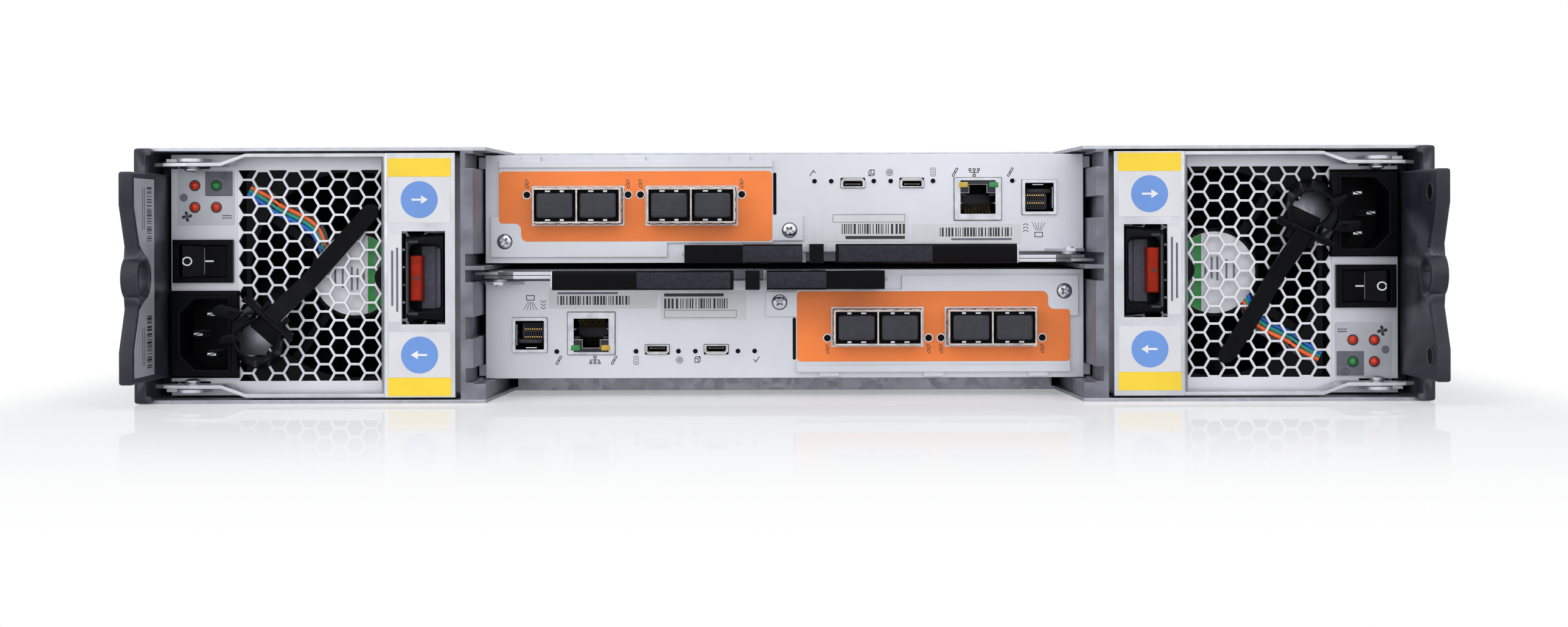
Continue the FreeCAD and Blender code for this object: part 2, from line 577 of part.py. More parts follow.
def psu_switch_bezel():
    """Frame of the mains switch, open in front, with a hole for each trunnion; and the bumper."""
    front = PANEL_Y - 1.4
    half_w, half_h = ROCKER_W / 2 + RUN, ROCKER_H / 2 + RUN
    rim = box(ROCKER_X - half_w - 2.1, ROCKER_X + half_w + 2.1, front, PANEL_Y,
              ROCKER_Z - half_h - 1.8, ROCKER_Z + half_h + 1.8)
    shell = box(ROCKER_X - half_w - 0.9, ROCKER_X + half_w + 0.9, PANEL_Y, PANEL_Y + 14,
                ROCKER_Z - half_h - 1.0, ROCKER_Z + half_h + 1.0)
    hollow = box(ROCKER_X - half_w, ROCKER_X + half_w, front - 1, PANEL_Y + 12.5,
                 ROCKER_Z - half_h, ROCKER_Z + half_h)
    bezel = join([rim, shell]).cut(hollow)
    holes = rod(1.5 + PIN_GAP, Vector(ROCKER_X, ROCKER_PIVOT_Y + 1.6, ROCKER_Z - half_h - 0.7),
                Vector(ROCKER_X, ROCKER_PIVOT_Y + 1.6, ROCKER_Z + half_h + 0.7))
    bezel = bezel.cut(holes)
    x, z = PSU_IN - 26.1, PSU_MID - 1.0
    stem = rod(BUMPER_R, Vector(x, PANEL_Y, z), Vector(x, PANEL_Y - 3.0, z))
    dome = Part.makeSphere(9.0, Vector(x, PANEL_Y + 3.6, z))
    bumper = stem.common(dome)
    return [bezel, bumper]


def psu_rocker():
    """Two-position rocker on trunnions, at rest with its right end pressed in."""
    pivot = Vector(ROCKER_X, ROCKER_PIVOT_Y + 1.6, 0)
    radius = ROCKER_W / 2
    low, high = ROCKER_Z - ROCKER_H / 2, ROCKER_Z + ROCKER_H / 2

    def at(angle, reach=radius):
        turn = math.radians(angle)
        return Vector(pivot.x + reach * math.cos(turn), pivot.y - reach * math.sin(turn), low)

    top_angle, foot_angle = 24.0, -32.0
    valley = Vector(pivot.x, pivot.y - 1.7, low)
    edges = [Part.LineSegment(at(180 - top_angle), valley), Part.LineSegment(valley, at(top_angle)),
             Part.Arc(at(top_angle), at((top_angle + foot_angle) / 2), at(foot_angle)),
             Part.LineSegment(at(foot_angle), at(180 - foot_angle)),
             Part.Arc(at(180 - foot_angle), at(180 - (top_angle + foot_angle) / 2), at(180 - top_angle))]
    profile = Part.Face(Part.Wire([edge.toShape() for edge in edges]))
    body = profile.extrude(Vector(0, 0, ROCKER_H))
    trunnion = rod(1.5, Vector(pivot.x, pivot.y, low - 0.9), Vector(pivot.x, pivot.y, high + 0.9))
    body = join([body, trunnion])
    body.rotate(pivot, Z_AXIS, ROCKER_SWING)
    return body


def psu_lamps():
    return [rod(LAMP_R, centre - Y_AXIS * 0.6, centre) for centre in psu_lamp_centres()]


def psu_fan_frame():
    """Square housing with a round duct, four struts, a fixed hub and its shaft."""
    y0, y1 = PANEL_BACK + 0.1, PANEL_BACK + 0.1 + FAN_DEEP
    half = FAN_SIZE / 2
    body = box(FAN_X - half, FAN_X + half, y0, y1, PSU_MID - half, PSU_MID + half)
    body = rounded(body, 4.0, lambda e: runs_along(e, Y_AXIS))
    centre = Vector(FAN_X, 0, PSU_MID)
    body = body.cut(rod(FAN_BORE_R, centre + Y_AXIS * (y0 - 1), centre + Y_AXIS * (y1 + 1)))
    hub = rod(FAN_HUB_R, centre + Y_AXIS * (y0 + 1.5), centre + Y_AXIS * (y0 + 4.0))
    shaft = rod(FAN_SHAFT_R, centre + Y_AXIS * (y0 + 3.5), centre + Y_AXIS * (y1 - 5.0))
    struts = []
    for angle in (35, 125, 215, 305):
        strut = box(FAN_X + FAN_HUB_R - 2, FAN_X + FAN_BORE_R + 1, y0 + 1.5, y0 + 4.0,
                    PSU_MID - 1.6, PSU_MID + 1.6)
        strut.rotate(centre, Y_AXIS, angle)
        struts.append(strut)
    return join([body, hub, shaft] + struts)


def psu_fan_rotor():
    """Impeller: a hub cup and leaning blades."""
    y0 = PANEL_BACK + 0.1 + 4.6
    y1 = PANEL_BACK + 0.1 + FAN_DEEP - 2.5
    centre = Vector(FAN_X, 0, PSU_MID)
    hub = rod(FAN_HUB_R, centre + Y_AXIS * y0, centre + Y_AXIS * y1)
    mid_y = (y0 + y1) / 2

    sweep = rod(FAN_BORE_R - 0.8, centre + Y_AXIS * y0, centre + Y_AXIS * y1)
    blades = []
    for blade in range(BLADES):
        vane = box(FAN_X + FAN_HUB_R - 2, FAN_X + FAN_BORE_R, mid_y - BLADE_CHORD / 2,
                   mid_y + BLADE_CHORD / 2, PSU_MID - BLADE_THICK / 2, PSU_MID + BLADE_THICK / 2)
        vane.rotate(Vector(FAN_X, mid_y, PSU_MID), X_AXIS, BLADE_LEAN)
        vane = vane.common(sweep)
        vane.rotate(centre, Y_AXIS, 360.0 / BLADES * blade)
        blades.append(vane)
    rotor = join([hub] + blades)
    return rotor.cut(rod(FAN_SHAFT_R + PIN_GAP, centre + Y_AXIS * (y0 - 1), centre + Y_AXIS * (y1 - 2.0)))


def psu_fan_leads():
    """Four leads side by side along the upper left strut."""
    y = PANEL_BACK + 0.1 + 0.8
    turn = math.radians(215)
    along = Vector(math.cos(turn), 0, -math.sin(turn))
    across = Vector(math.sin(turn), 0, math.cos(turn))
    leads = []
    for step in (-1.5, -0.5, 0.5, 1.5):
        start = Vector(FAN_X, y, PSU_MID) + along * (FAN_HUB_R - 3.0) + across * (step * 1.35)
        end = Vector(FAN_X, y, PSU_MID) + along * (FAN_BORE_R - 0.6) + across * (step * 1.35)
        leads.append(rod(0.6, start, end))
    return leads


def psu_handle():
    """Sheet yoke: a crossbar with a rounded edge, two cranked arms and their cam tips."""
    left = PSU_IN - 1.4 - CROSSBAR
    right = PSU_IN - 1.4
    front, inner = YOKE_Y, YOKE_Y + HANDLE_SHEET
    low, high = PSU_LOW + YOKE_EDGE, PSU_TOP - YOKE_EDGE
    bend = 3.0
    swing = bend - HANDLE_SHEET
    side = Vector(left + bend, front + bend, low)
    half = math.sqrt(0.5)
    points = {"a": Vector(right, front, low), "b": Vector(left + bend, front, low),
              "c": Vector(left, front + bend, low), "d": Vector(left, front + 5.4, low),
              "e": Vector(left + HANDLE_SHEET, front + 5.4, low),
              "f": Vector(left + HANDLE_SHEET, front + bend, low),
              "g": Vector(left + bend, inner, low), "h": Vector(right, inner, low)}
    outer_mid = side + Vector(-half, -half, 0) * bend
    inner_mid = side + Vector(-half, -half, 0) * swing
    edges = [Part.LineSegment(points["a"], points["b"]), Part.Arc(points["b"], outer_mid, points["c"]),
             Part.LineSegment(points["c"], points["d"]), Part.LineSegment(points["d"], points["e"]),
             Part.LineSegment(points["e"], points["f"]), Part.Arc(points["f"], inner_mid, points["g"]),
             Part.LineSegment(points["g"], points["h"]), Part.LineSegment(points["h"], points["a"])]
    bar = Part.Face(Part.Wire([edge.toShape() for edge in edges])).extrude(Vector(0, 0, high - low))
    bar = bar.cut(box(*grip_window(), front - 1, inner + 1, *grip_heights()))
    arm_high, arm_low = high, PSU_TOP - ARM_DROP
    crank0, crank1 = PIVOT.x + CRANK_NEAR, PIVOT.x + CRANK_FAR
    arm_front, arm_back = front + 0.6, front + 10.0
    strip = upright([(crank1, arm_high), (right, arm_high), (right, arm_high - HANDLE_SHEET),
                     (crank1, arm_high - HANDLE_SHEET), (crank0, arm_low - HANDLE_SHEET),
                     (PIVOT.x, arm_low - HANDLE_SHEET), (PIVOT.x, arm_low), (crank0, arm_low)],
                    arm_front, arm_back)
    base = Vector(PIVOT.x, PIVOT.y, arm_low - HANDLE_SHEET)
    eye = Part.makeCylinder(5.0, HANDLE_SHEET, base)
    cam = flat([(PIVOT.x, PIVOT.y - 5.0), (PIVOT.x - 9.0, PIVOT.y - 3.5),
                (PIVOT.x - CAM_REACH, PIVOT.y - 1.0), (PIVOT.x - CAM_REACH, PIVOT.y + 1.5),
                (PIVOT.x - 7.0, PIVOT.y + 2.5), (PIVOT.x, PIVOT.y + 5.0)],
               arm_low - HANDLE_SHEET, arm_low)
    arm = join([strip, eye, cam])
    bore = Part.makeCylinder(PIVOT_PIN_R + PIN_GAP, 4, base - Z_AXIS)
    return join([bar] + both_ends(arm.cut(bore)))


def grip_window():
    """Left and right edges of the cut-out for the latch grip."""
    return (PSU_IN - 19.7, PSU_IN - 4.8)


def grip_heights():
    return (PSU_MID - 16.9, PSU_MID + 15.1)


GRIP_WALL = 1.5
GRIP_PAD = 3.2
GRIP_DEEP = 9.0


def psu_latch_grip():
    """Moulded box in the crossbar with a finger recess; the right rim is the thumb pad."""
    x0, x1 = (edge + move for edge, move in zip(grip_window(), (RUN, -RUN)))
    z0, z1 = (edge + move for edge, move in zip(grip_heights(), (RUN, -RUN)))
    front = YOKE_Y + 0.2
    body = box(x0, x1, front, front + GRIP_DEEP, z0, z1)
    recess = box(x0 + GRIP_WALL, x1 - GRIP_PAD, front - 1, front + GRIP_DEEP - 1.4,
                 z0 + GRIP_WALL, z1 - GRIP_WALL)
    return body.cut(recess)


def psu_release_tab():
    """Red catch that slides towards the thumb pad inside the recess."""
    x0 = grip_window()[0] + RUN + GRIP_WALL + 0.6
    front = YOKE_Y + 1.6
    mid = sum(grip_heights()) / 2 - 0.2
    back = YOKE_Y + 0.2 + GRIP_DEEP - 1.4 - RUN
    body = box(x0, x0 + 4.1, front, back, mid - 7.8, mid + 7.8)
    return rounded(body, 0.8, lambda e: e.CenterOfMass.y < front + 0.01)


RING_X, RING_Z = GRILLE_LEFT + 9.7, PSU_LOW + 21.6
RING_R, RING_BORE_R, RING_DEEP = 8.5, 7.3, 12.0
STRAP_LEAN = 48.3           # degrees from level
STRAP_LONG, STRAP_WIDE, STRAP_THICK = 48.4, 6.9, 1.2
STRAP_ASIDE, BUCKLE_ASIDE = 2.3, 1.7         # from the line through the ring's centre
BUCKLE_NEAR, BUCKLE_FAR, BUCKLE_HALF, BUCKLE_DEEP = 4.0, 9.5, 10.5, 4.0


def psu_cord_clamp():
    """Cord clamp on the grille: a ring, a buckle bar across it and a strap with a round end."""
    back = PANEL_Y - RUN
    ring = rod(RING_R, Vector(RING_X, back - RING_DEEP, RING_Z), Vector(RING_X, back, RING_Z))
    bore = rod(RING_BORE_R, Vector(RING_X, back - RING_DEEP - 1, RING_Z), Vector(RING_X, back + 1, RING_Z))
    centre = Vector(RING_X, back, RING_Z)
    end = RING_X + BUCKLE_FAR + STRAP_LONG
    level = RING_Z + STRAP_ASIDE
    strap = box(RING_X + BUCKLE_NEAR, end, back - STRAP_THICK, back, level - STRAP_WIDE / 2,
                level + STRAP_WIDE / 2)
    tip = rod(STRAP_WIDE / 2, Vector(end, back - STRAP_THICK, level), Vector(end, back, level))
    bar = box(RING_X + BUCKLE_NEAR, RING_X + BUCKLE_FAR, back - BUCKLE_DEEP, back,
              RING_Z + BUCKLE_ASIDE - BUCKLE_HALF, RING_Z + BUCKLE_ASIDE + BUCKLE_HALF)
    arm = join([strap, tip, bar])
    arm.rotate(centre, Y_AXIS, -STRAP_LEAN)
    return join([ring.cut(bore), arm])


# ---- controller (the lower one) ---------------------------------------------------------------
LEFT, RIGHT = -CTRL_HALF, CTRL_HALF
LONG_PIVOT = Vector(LEFT + 6.1, FACE_Y - 6.4, 0)
SHORT_PIVOT = Vector(RIGHT - 75.7, FACE_Y - 7.9, 0)
LEVER_LOW = CTRL_TOP - 6.6
TAB_TOP = CTRL_STEP
SPLIT_X = RIGHT - 112.7     # where the lower service half of the face ends
CLASP_LEFT, CLASP_RIGHT = SPLIT_X - 7.0, SPLIT_X - 2.1
FORK_SHEET = 1.1
FORK_LOW, FORK_HIGH = 1.15, 2.45        # undersides of the long lever's arms above its tab
KNUCKLE_R = 4.3
TAB_SLOT_R = 6.8            # slot in the short lever, round its pin
CAGE_W, CAGE_H = 31.0, 12.4
CAGE_WALL = 0.6
CAGE_REACH = 6.3
CAGE_LEFTS = (RIGHT - 88.8, RIGHT - 48.6)
CAGE_LOW = CTRL_LOW + 11.8
RJ_X, RJ_W, RJ_H = LEFT + 29.2, 16.7, 15.0
RJ_LOW = CTRL_LOW + 8.4
SAS_X, SAS_W, SAS_H = LEFT + 9.8, 12.0, 12.1
SAS_LOW = CTRL_LOW + 9.3
USB_XS = (LEFT + 56.7, LEFT + 77.6)
USB_W, USB_H = 8.4, 3.3
USB_LOW = CTRL_LOW + 8.5


def controller_case():
    """Closed sheet box with a rail along each edge of both sides."""
    body = box(LEFT, RIGHT, FACE_Y + PLATE, MODULE_END, CTRL_LOW, CTRL_TOP)
    body = body.cut(box(LEFT + PLATE, RIGHT - PLATE, FACE_Y, MODULE_END - PLATE,
                        CTRL_LOW + PLATE, CTRL_STEP - PLATE))
    body = body.cut(box(SPLIT_X, RIGHT - PLATE, FACE_Y, MODULE_END - PLATE,
                        CTRL_LOW + PLATE, CTRL_TOP - PLATE))
    body = body.cut(box(LEFT - 1, SPLIT_X - PLATE, FACE_Y, FACE_Y + 24, CTRL_STEP, CTRL_TOP + 1))
    body = body.cut(box(LEFT + PLATE, SPLIT_X + 1, FACE_Y + 25, MODULE_END - PLATE,
                        CTRL_STEP - 2, CTRL_TOP - PLATE))
    rails = []
    for side in (-1, 1):
        edge = side * CTRL_HALF
        rails.append(box(edge, edge + side * CTRL_RAIL, FACE_Y + 4, MODULE_END - 2,
                         CTRL_LOW + 0.6, CTRL_LOW + 4.8))
        rails.append(box(edge, edge + side * CTRL_RAIL, FACE_Y + 26, MODULE_END - 2,
                         CTRL_TOP - 3.1, CTRL_TOP))
    return join([body] + rails)


def controller_face():
    """Face sheet with its port cut-outs, the lever tabs and their pins."""
    outline = [(LEFT + 0.2, CTRL_LOW), (RIGHT - 0.2, CTRL_LOW), (RIGHT - 0.2, CTRL_TOP),
               (SPLIT_X, CTRL_TOP), (SPLIT_X, CTRL_STEP), (LEFT + 0.2, CTRL_STEP)]
    face = upright(outline, FACE_Y, FACE_Y + PLATE)
    cuts = [box(SAS_X - 0.15, SAS_X + SAS_W + 0.15, FACE_Y - 1, FACE_Y + 2, SAS_LOW - 0.15,
                SAS_LOW + SAS_H + 0.15),
            box(RJ_X - 0.15, RJ_X + RJ_W + 0.15, FACE_Y - 1, FACE_Y + 2, RJ_LOW - 0.15,
                RJ_LOW + RJ_H + 0.15),
            box(RIGHT - 94, RIGHT - 12, FACE_Y - 1, FACE_Y + 2, CTRL_LOW + 8, CTRL_LOW + 27)]
    for x in USB_XS:
        cuts.append(box(x - 0.15, x + USB_W + 0.15, FACE_Y - 1, FACE_Y + 2, USB_LOW - 0.15,
                        USB_LOW + USB_H + 0.15))
    for cut in cuts:
        face = face.cut(cut)
    nose = LONG_PIVOT.y - 4
    long_tab = flat([(LEFT + 1.2, FACE_Y), (LEFT + 1.2, nose + 2), (LONG_PIVOT.x - 1.6, nose),
                     (LONG_PIVOT.x + 1.6, nose), (LEFT + 14, FACE_Y)], TAB_TOP - 1.1, TAB_TOP)
    long_pin = rod(LEVER_PIN_R, Vector(LONG_PIVOT.x, LONG_PIVOT.y, TAB_TOP - 1.6),
                   Vector(LONG_PIVOT.x, LONG_PIVOT.y, CTRL_TOP - 0.1))
    collar = rod(LEVER_PIN_R + 1.1, Vector(LONG_PIVOT.x, LONG_PIVOT.y, TAB_TOP),
                 Vector(LONG_PIVOT.x, LONG_PIVOT.y, TAB_TOP + FORK_LOW - RUN))
    short_tab = flat([(SHORT_PIVOT.x - 6, FACE_Y), (SHORT_PIVOT.x - 3, SHORT_PIVOT.y - 3),
                      (SHORT_PIVOT.x + 3, SHORT_PIVOT.y - 3), (SHORT_PIVOT.x + 6, FACE_Y)],
                     *short_tab_levels())
    short_pin = rod(LEVER_PIN_R, Vector(SHORT_PIVOT.x, SHORT_PIVOT.y, LEVER_LOW + 0.4),
                    Vector(SHORT_PIVOT.x, SHORT_PIVOT.y, LEVER_LOW + LEVER_TALL - 0.4))
    return join([face, long_tab, long_pin, collar, short_tab, short_pin])


def host_port_plate():
    """Cover plate over the host ports, with a screw tab at each end and a hemmed foot."""
    y0, y1 = FACE_Y - SHEET, FACE_Y
    left, right = RIGHT - 101.9, RIGHT - 5.1
    low, high = CTRL_LOW + 2.1, CTRL_LOW + 31.2
    outline = [(left, low), (right, low), (right, low + 19.7), (right + 3.0, low + 19.7),
               (right + 3.0, high + 5.0), (left + 37.3, high + 5.0), (left + 37.3, high), (left, high)]
    plate = upright(outline, y0, y1)
    hem = box(left, right, y0 - 0.9, y0, low, low + 2.4)
    tab = box(left - 10.8, left, y0, y1, low + 19.6, low + 28.4)
    lugs = [box(left + at, left + at + 7, y0, y1, low - 1.6, low) for at in (8, 45, 82)]
    plate = join([plate, hem, tab] + lugs)
    for x in CAGE_LEFTS:
        plate = plate.cut(box(x - 0.2, x + CAGE_W + 0.2, y0 - 2, y1 + 1, CAGE_LOW - 0.2,
                              CAGE_LOW + CAGE_H + 0.2))
    return plate.cut(box(left - 1.2, left, y0 - 1, y1 + 1, low + 10, low + 19.6))


def cell_width():
    return (CAGE_W - 3 * CAGE_WALL) / 2


def port_cages():
    cages = []
    for x in CAGE_LEFTS:
        front = FACE_Y - SHEET - CAGE_REACH
        shell = box(x, x + CAGE_W, front, front + 48, CAGE_LOW, CAGE_LOW + CAGE_H)
        for cell in (0, 1):
            x0 = x + CAGE_WALL + cell * (cell_width() + CAGE_WALL)
            shell = shell.cut(box(x0, x0 + cell_width(), front - 1, front + 47,
                                  CAGE_LOW + CAGE_WALL, CAGE_LOW + CAGE_H - CAGE_WALL))
        cages.append(shell)
    return cages


def plugs_and_clasp():
    """A dust plug in each host port, and the block that both levers close against."""
    pieces = []
    front = FACE_Y - SHEET - CAGE_REACH
    for x in CAGE_LEFTS:
        for cell in (0, 1):
            mid = x + CAGE_WALL + cell * (cell_width() + CAGE_WALL) + cell_width() / 2
            z = CAGE_LOW + CAGE_H / 2
            stem = box(mid - 6.9, mid + 6.9, front + 1.5, front + 14, z - 5.3, z + 5.3)
            head = box(mid - 6.4, mid + 6.4, front - 0.7, front + 1.5, z - 4.35, z + 4.35)
            pieces.append(join([stem, head]))
    clasp = box(CLASP_LEFT, CLASP_RIGHT, LEVER_Y + 1.0, FACE_Y, LEVER_LOW, CTRL_STEP)
    hook = box(CLASP_LEFT, CLASP_RIGHT, LEVER_Y + 1.0, FACE_Y - 8, CTRL_STEP, CTRL_TOP)
    return pieces + [join([clasp, hook])]


def service_ports():
    """The service-side connectors: one cable port, one network jack, two small serial ports."""
    front = FACE_Y - 0.6
    cable = box(SAS_X, SAS_X + SAS_W, front, front + 18, SAS_LOW, SAS_LOW + SAS_H)
    cable = cable.cut(box(SAS_X + 0.8, SAS_X + SAS_W - 0.8, front - 1, front + 14, SAS_LOW + 0.8,
                          SAS_LOW + SAS_H - 0.8))
    cable = join([cable, box(SAS_X + 2, SAS_X + SAS_W - 2, front + 3, front + 14, SAS_LOW + 3.2,
                             SAS_LOW + 4.2)])
    jack = box(RJ_X, RJ_X + RJ_W, front, front + 21, RJ_LOW, RJ_LOW + RJ_H)
    mid = RJ_X + RJ_W / 2
    mouth = [(mid - 6.35, RJ_LOW + 5.4), (mid - 3.1, RJ_LOW + 5.4), (mid - 3.1, RJ_LOW + 2.4),
             (mid + 3.1, RJ_LOW + 2.4), (mid + 3.1, RJ_LOW + 5.4), (mid + 6.35, RJ_LOW + 5.4),
             (mid + 6.35, RJ_LOW + 13.0), (mid - 6.35, RJ_LOW + 13.0)]
    jack = jack.cut(upright(mouth, front - 1, front + 14))
    sockets = []
    for x in USB_XS:
        trim = 0.9
        outline = [(x + trim, USB_LOW), (x + USB_W - trim, USB_LOW), (x + USB_W, USB_LOW + trim),
                   (x + USB_W, USB_LOW + USB_H), (x, USB_LOW + USB_H), (x, USB_LOW + trim)]
        socket = upright(outline, front, front + 7)
        socket = socket.cut(box(x + 0.8, x + USB_W - 0.8, front - 1, front + 5, USB_LOW + 0.9,
                                USB_LOW + USB_H - 0.45))
        sockets.append(join([socket, box(x + 1.6, x + USB_W - 1.6, front + 1, front + 5,
                                         USB_LOW + 1.8, USB_LOW + 2.3)]))
    return [cable, jack] + sockets


def long_lever():
    """Forked sheet arm on its pin, and the moulded grip that it carries."""
    low, high = LEVER_LOW, LEVER_LOW + LEVER_TALL
    grip = box(LEFT + 25.0, CLASP_LEFT - 4.2, LEVER_Y, LEVER_Y + LEVER_DEEP, low, high)
    grip = rounded(grip, 1.2, lambda e: runs_along(e, X_AXIS) and e.CenterOfMass.y < LEVER_Y + 0.1)
    heel = LEVER_Y + LEVER_DEEP
    arms = []
    for z0, tip in ((TAB_TOP + FORK_LOW, LONG_PIVOT.x - 5.0), (TAB_TOP + FORK_HIGH, LONG_PIVOT.x - 8.4)):
        outline = [(tip, LONG_PIVOT.y - 2.5), (tip, LONG_PIVOT.y + 1.5), (LONG_PIVOT.x, LONG_PIVOT.y + 4),
                   (LONG_PIVOT.x + 5, LONG_PIVOT.y + 3), (LEFT + 27, heel - 0.5),
                   (LEFT + 37, heel - 1.5), (LEFT + 37, LEVER_Y + 2.5),
                   (LONG_PIVOT.x + 6, LEVER_Y + 1.2), (LONG_PIVOT.x, LONG_PIVOT.y - 4.5)]
        arms.append(flat(outline, z0, z0 + FORK_SHEET))
    bridge = box(LEFT + 34, LEFT + 37, LEVER_Y + 2.5, heel - 1.5, TAB_TOP + FORK_LOW,
                 TAB_TOP + FORK_HIGH + FORK_SHEET)
    arm = join(arms + [bridge])
    arm = arm.cut(rod(LEVER_PIN_R + PIN_GAP, Vector(LONG_PIVOT.x, LONG_PIVOT.y, low),
                      Vector(LONG_PIVOT.x, LONG_PIVOT.y, high + 1)))
    return [arm, grip.cut(arm)]


def short_tab_levels():
    """The tab lies in a slot half way up the short lever."""
    mid = LEVER_LOW + LEVER_TALL / 2
    return mid - 0.6, mid + 0.6


def short_lever():
    """Moulded thumb lever: a faceted grip, a smooth body and a slotted knuckle on its pin."""
    low, high = LEVER_LOW, LEVER_LOW + LEVER_TALL
    left = SPLIT_X + 0.4
    neck = SHORT_PIVOT.x - 16.0
    grip = box(left, neck, LEVER_Y, LEVER_Y + LEVER_DEEP, low, high)
    grip = rounded(grip, 1.2, lambda e: runs_along(e, X_AXIS) and e.CenterOfMass.y < LEVER_Y + 0.1)
    body = box(neck, SHORT_PIVOT.x + KNUCKLE_R, LEVER_Y + 0.5, SHORT_PIVOT.y, low + 0.2, high - 0.2)
    foot, head = Vector(SHORT_PIVOT.x, SHORT_PIVOT.y, low), Vector(SHORT_PIVOT.x, SHORT_PIVOT.y, high)
    knuckle = rod(KNUCKLE_R, foot + Z_AXIS * 0.2, head - Z_AXIS * 0.2)
    body = join([grip, body, knuckle])
    z0, z1 = short_tab_levels()
    slot = Part.makeCylinder(TAB_SLOT_R, z1 - z0 + 2 * RUN, Vector(SHORT_PIVOT.x, SHORT_PIVOT.y, z0 - RUN))
    return body.cut(slot).cut(rod(LEVER_PIN_R + PIN_GAP, foot - Z_AXIS, head + Z_AXIS))


# ---- assembly -----------------------------------------------------------------------------------
def solids_of(made):
    """A flat list of solids from one shape or a list of shapes."""
    shapes = made if isinstance(made, list) else [made]
    return [solid for shape in shapes for solid in shape.Solids]


def shelf():
    """Every node of the shelf: its name and its solids."""
    nodes = {"chassis_tray": chassis_tray(), "top_cover": top_cover(), "drive_cage": drive_cage(),
             "midplane_board": midplane_board()}
    for name, piece in (("rack_flanges", rack_flange()), ("ear_grips", ear_grip()),
                        ("rear_brackets", rear_bracket())):
        nodes[name] = [piece, mirrored(piece)]
    nodes["bay_guides"] = bay_guides()
    nodes["drive_blanks"] = [drive_blank(column, row) for column in range(COLUMNS)
                             for row in range(ROWS - 1)]
    for column in range(COLUMNS):
        nodes[f"drive_carrier_{column + 1}"] = drive_carrier(column, ROWS - 1)
        nodes[f"carrier_lever_{column + 1}"] = carrier_lever(column, ROWS - 1)
    supply = {"psu_case": psu_case(), "psu_grille": psu_grille(), "psu_inlet": psu_inlet(),
              "psu_switch_bezel": psu_switch_bezel(), "psu_rocker": psu_rocker(), "psu_lamps": psu_lamps(),
              "psu_fan_frame": psu_fan_frame(), "psu_fan_rotor": psu_fan_rotor(),
              "psu_fan_leads": psu_fan_leads(), "psu_handle": psu_handle(),
              "psu_latch_grip": psu_latch_grip(), "psu_release_tab": psu_release_tab(),
              "psu_cord_clamp": psu_cord_clamp()}
    for name, made in supply.items():
        nodes["left_" + name] = made
        nodes["right_" + name] = [half_turn(solid, PSU_MID) for solid in solids_of(made)]
    controller = {"controller_case": controller_case(), "controller_face": controller_face(),
                  "host_port_plate": host_port_plate(), "port_cages": port_cages(),
                  "plugs_and_clasp": plugs_and_clasp(), "service_ports": service_ports(),
                  "long_lever": long_lever(), "short_lever": short_lever()}
    for name, made in controller.items():
        nodes["lower_" + name] = made
        nodes["upper_" + name] = [half_turn(solid, CTRL_MID) for solid in solids_of(made)]
    return {name: solids_of(made) for name, made in nodes.items()}


def main():
    os.makedirs("parts", exist_ok=True)
    for name, solids in shelf().items():
        shape = solids[0] if len(solids) == 1 else Part.makeCompound(solids)
        for solid in solids:
            if not solid.isValid() or solid.Volume <= 0:
                print("not a sound solid:", name)
        shape.exportStep(f"parts/{name}.step")
        print(f"{name}: {len(solids)} solid(s), {sum(s.Volume for s in solids) / 1000:.1f} cm3")


main()
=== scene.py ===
import json
import math
import random

import bmesh
import bpy
from mathutils import Matrix, Vector
from mathutils.bvhtree import BVHTree
from mathutils.geometry import tessellate_polygon


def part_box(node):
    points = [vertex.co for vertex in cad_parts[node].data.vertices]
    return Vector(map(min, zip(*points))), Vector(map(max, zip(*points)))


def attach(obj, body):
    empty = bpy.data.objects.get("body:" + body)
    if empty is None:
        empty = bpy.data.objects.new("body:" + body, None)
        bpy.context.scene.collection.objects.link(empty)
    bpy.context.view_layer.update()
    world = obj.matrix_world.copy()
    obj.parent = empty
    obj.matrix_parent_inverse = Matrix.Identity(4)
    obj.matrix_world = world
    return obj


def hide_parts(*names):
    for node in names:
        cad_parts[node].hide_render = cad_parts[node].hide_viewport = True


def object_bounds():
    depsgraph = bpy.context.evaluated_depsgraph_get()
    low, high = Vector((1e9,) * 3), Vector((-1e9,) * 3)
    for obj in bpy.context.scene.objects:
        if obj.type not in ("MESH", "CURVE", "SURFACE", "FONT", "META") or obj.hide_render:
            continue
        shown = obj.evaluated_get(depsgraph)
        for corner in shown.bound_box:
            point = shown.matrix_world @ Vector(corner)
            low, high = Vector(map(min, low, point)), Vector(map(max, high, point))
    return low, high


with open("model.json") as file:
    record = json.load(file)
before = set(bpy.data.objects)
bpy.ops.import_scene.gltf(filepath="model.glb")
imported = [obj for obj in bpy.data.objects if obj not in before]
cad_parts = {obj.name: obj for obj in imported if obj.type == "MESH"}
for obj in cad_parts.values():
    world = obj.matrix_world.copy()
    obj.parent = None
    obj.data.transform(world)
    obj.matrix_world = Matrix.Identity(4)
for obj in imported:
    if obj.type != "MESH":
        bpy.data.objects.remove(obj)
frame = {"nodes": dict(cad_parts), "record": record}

# The looks of a 2U disk shelf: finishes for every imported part, and the small pieces that the
# model leaves to the render.  Shapes are drawn in millimetres from an origin on their module.
# A module that turns up twice is drawn once, and its copy is turned half way round.

cad_low, cad_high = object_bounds()
MM = 0.001


# ---- places in millimetres: from the nodes' boxes, with measures the boxes do not give ---
def low(node):
    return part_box(node)[0] / MM


def high(node):
    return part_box(node)[1] / MM


def centre(node):
    return (low(node) + high(node)) / 2


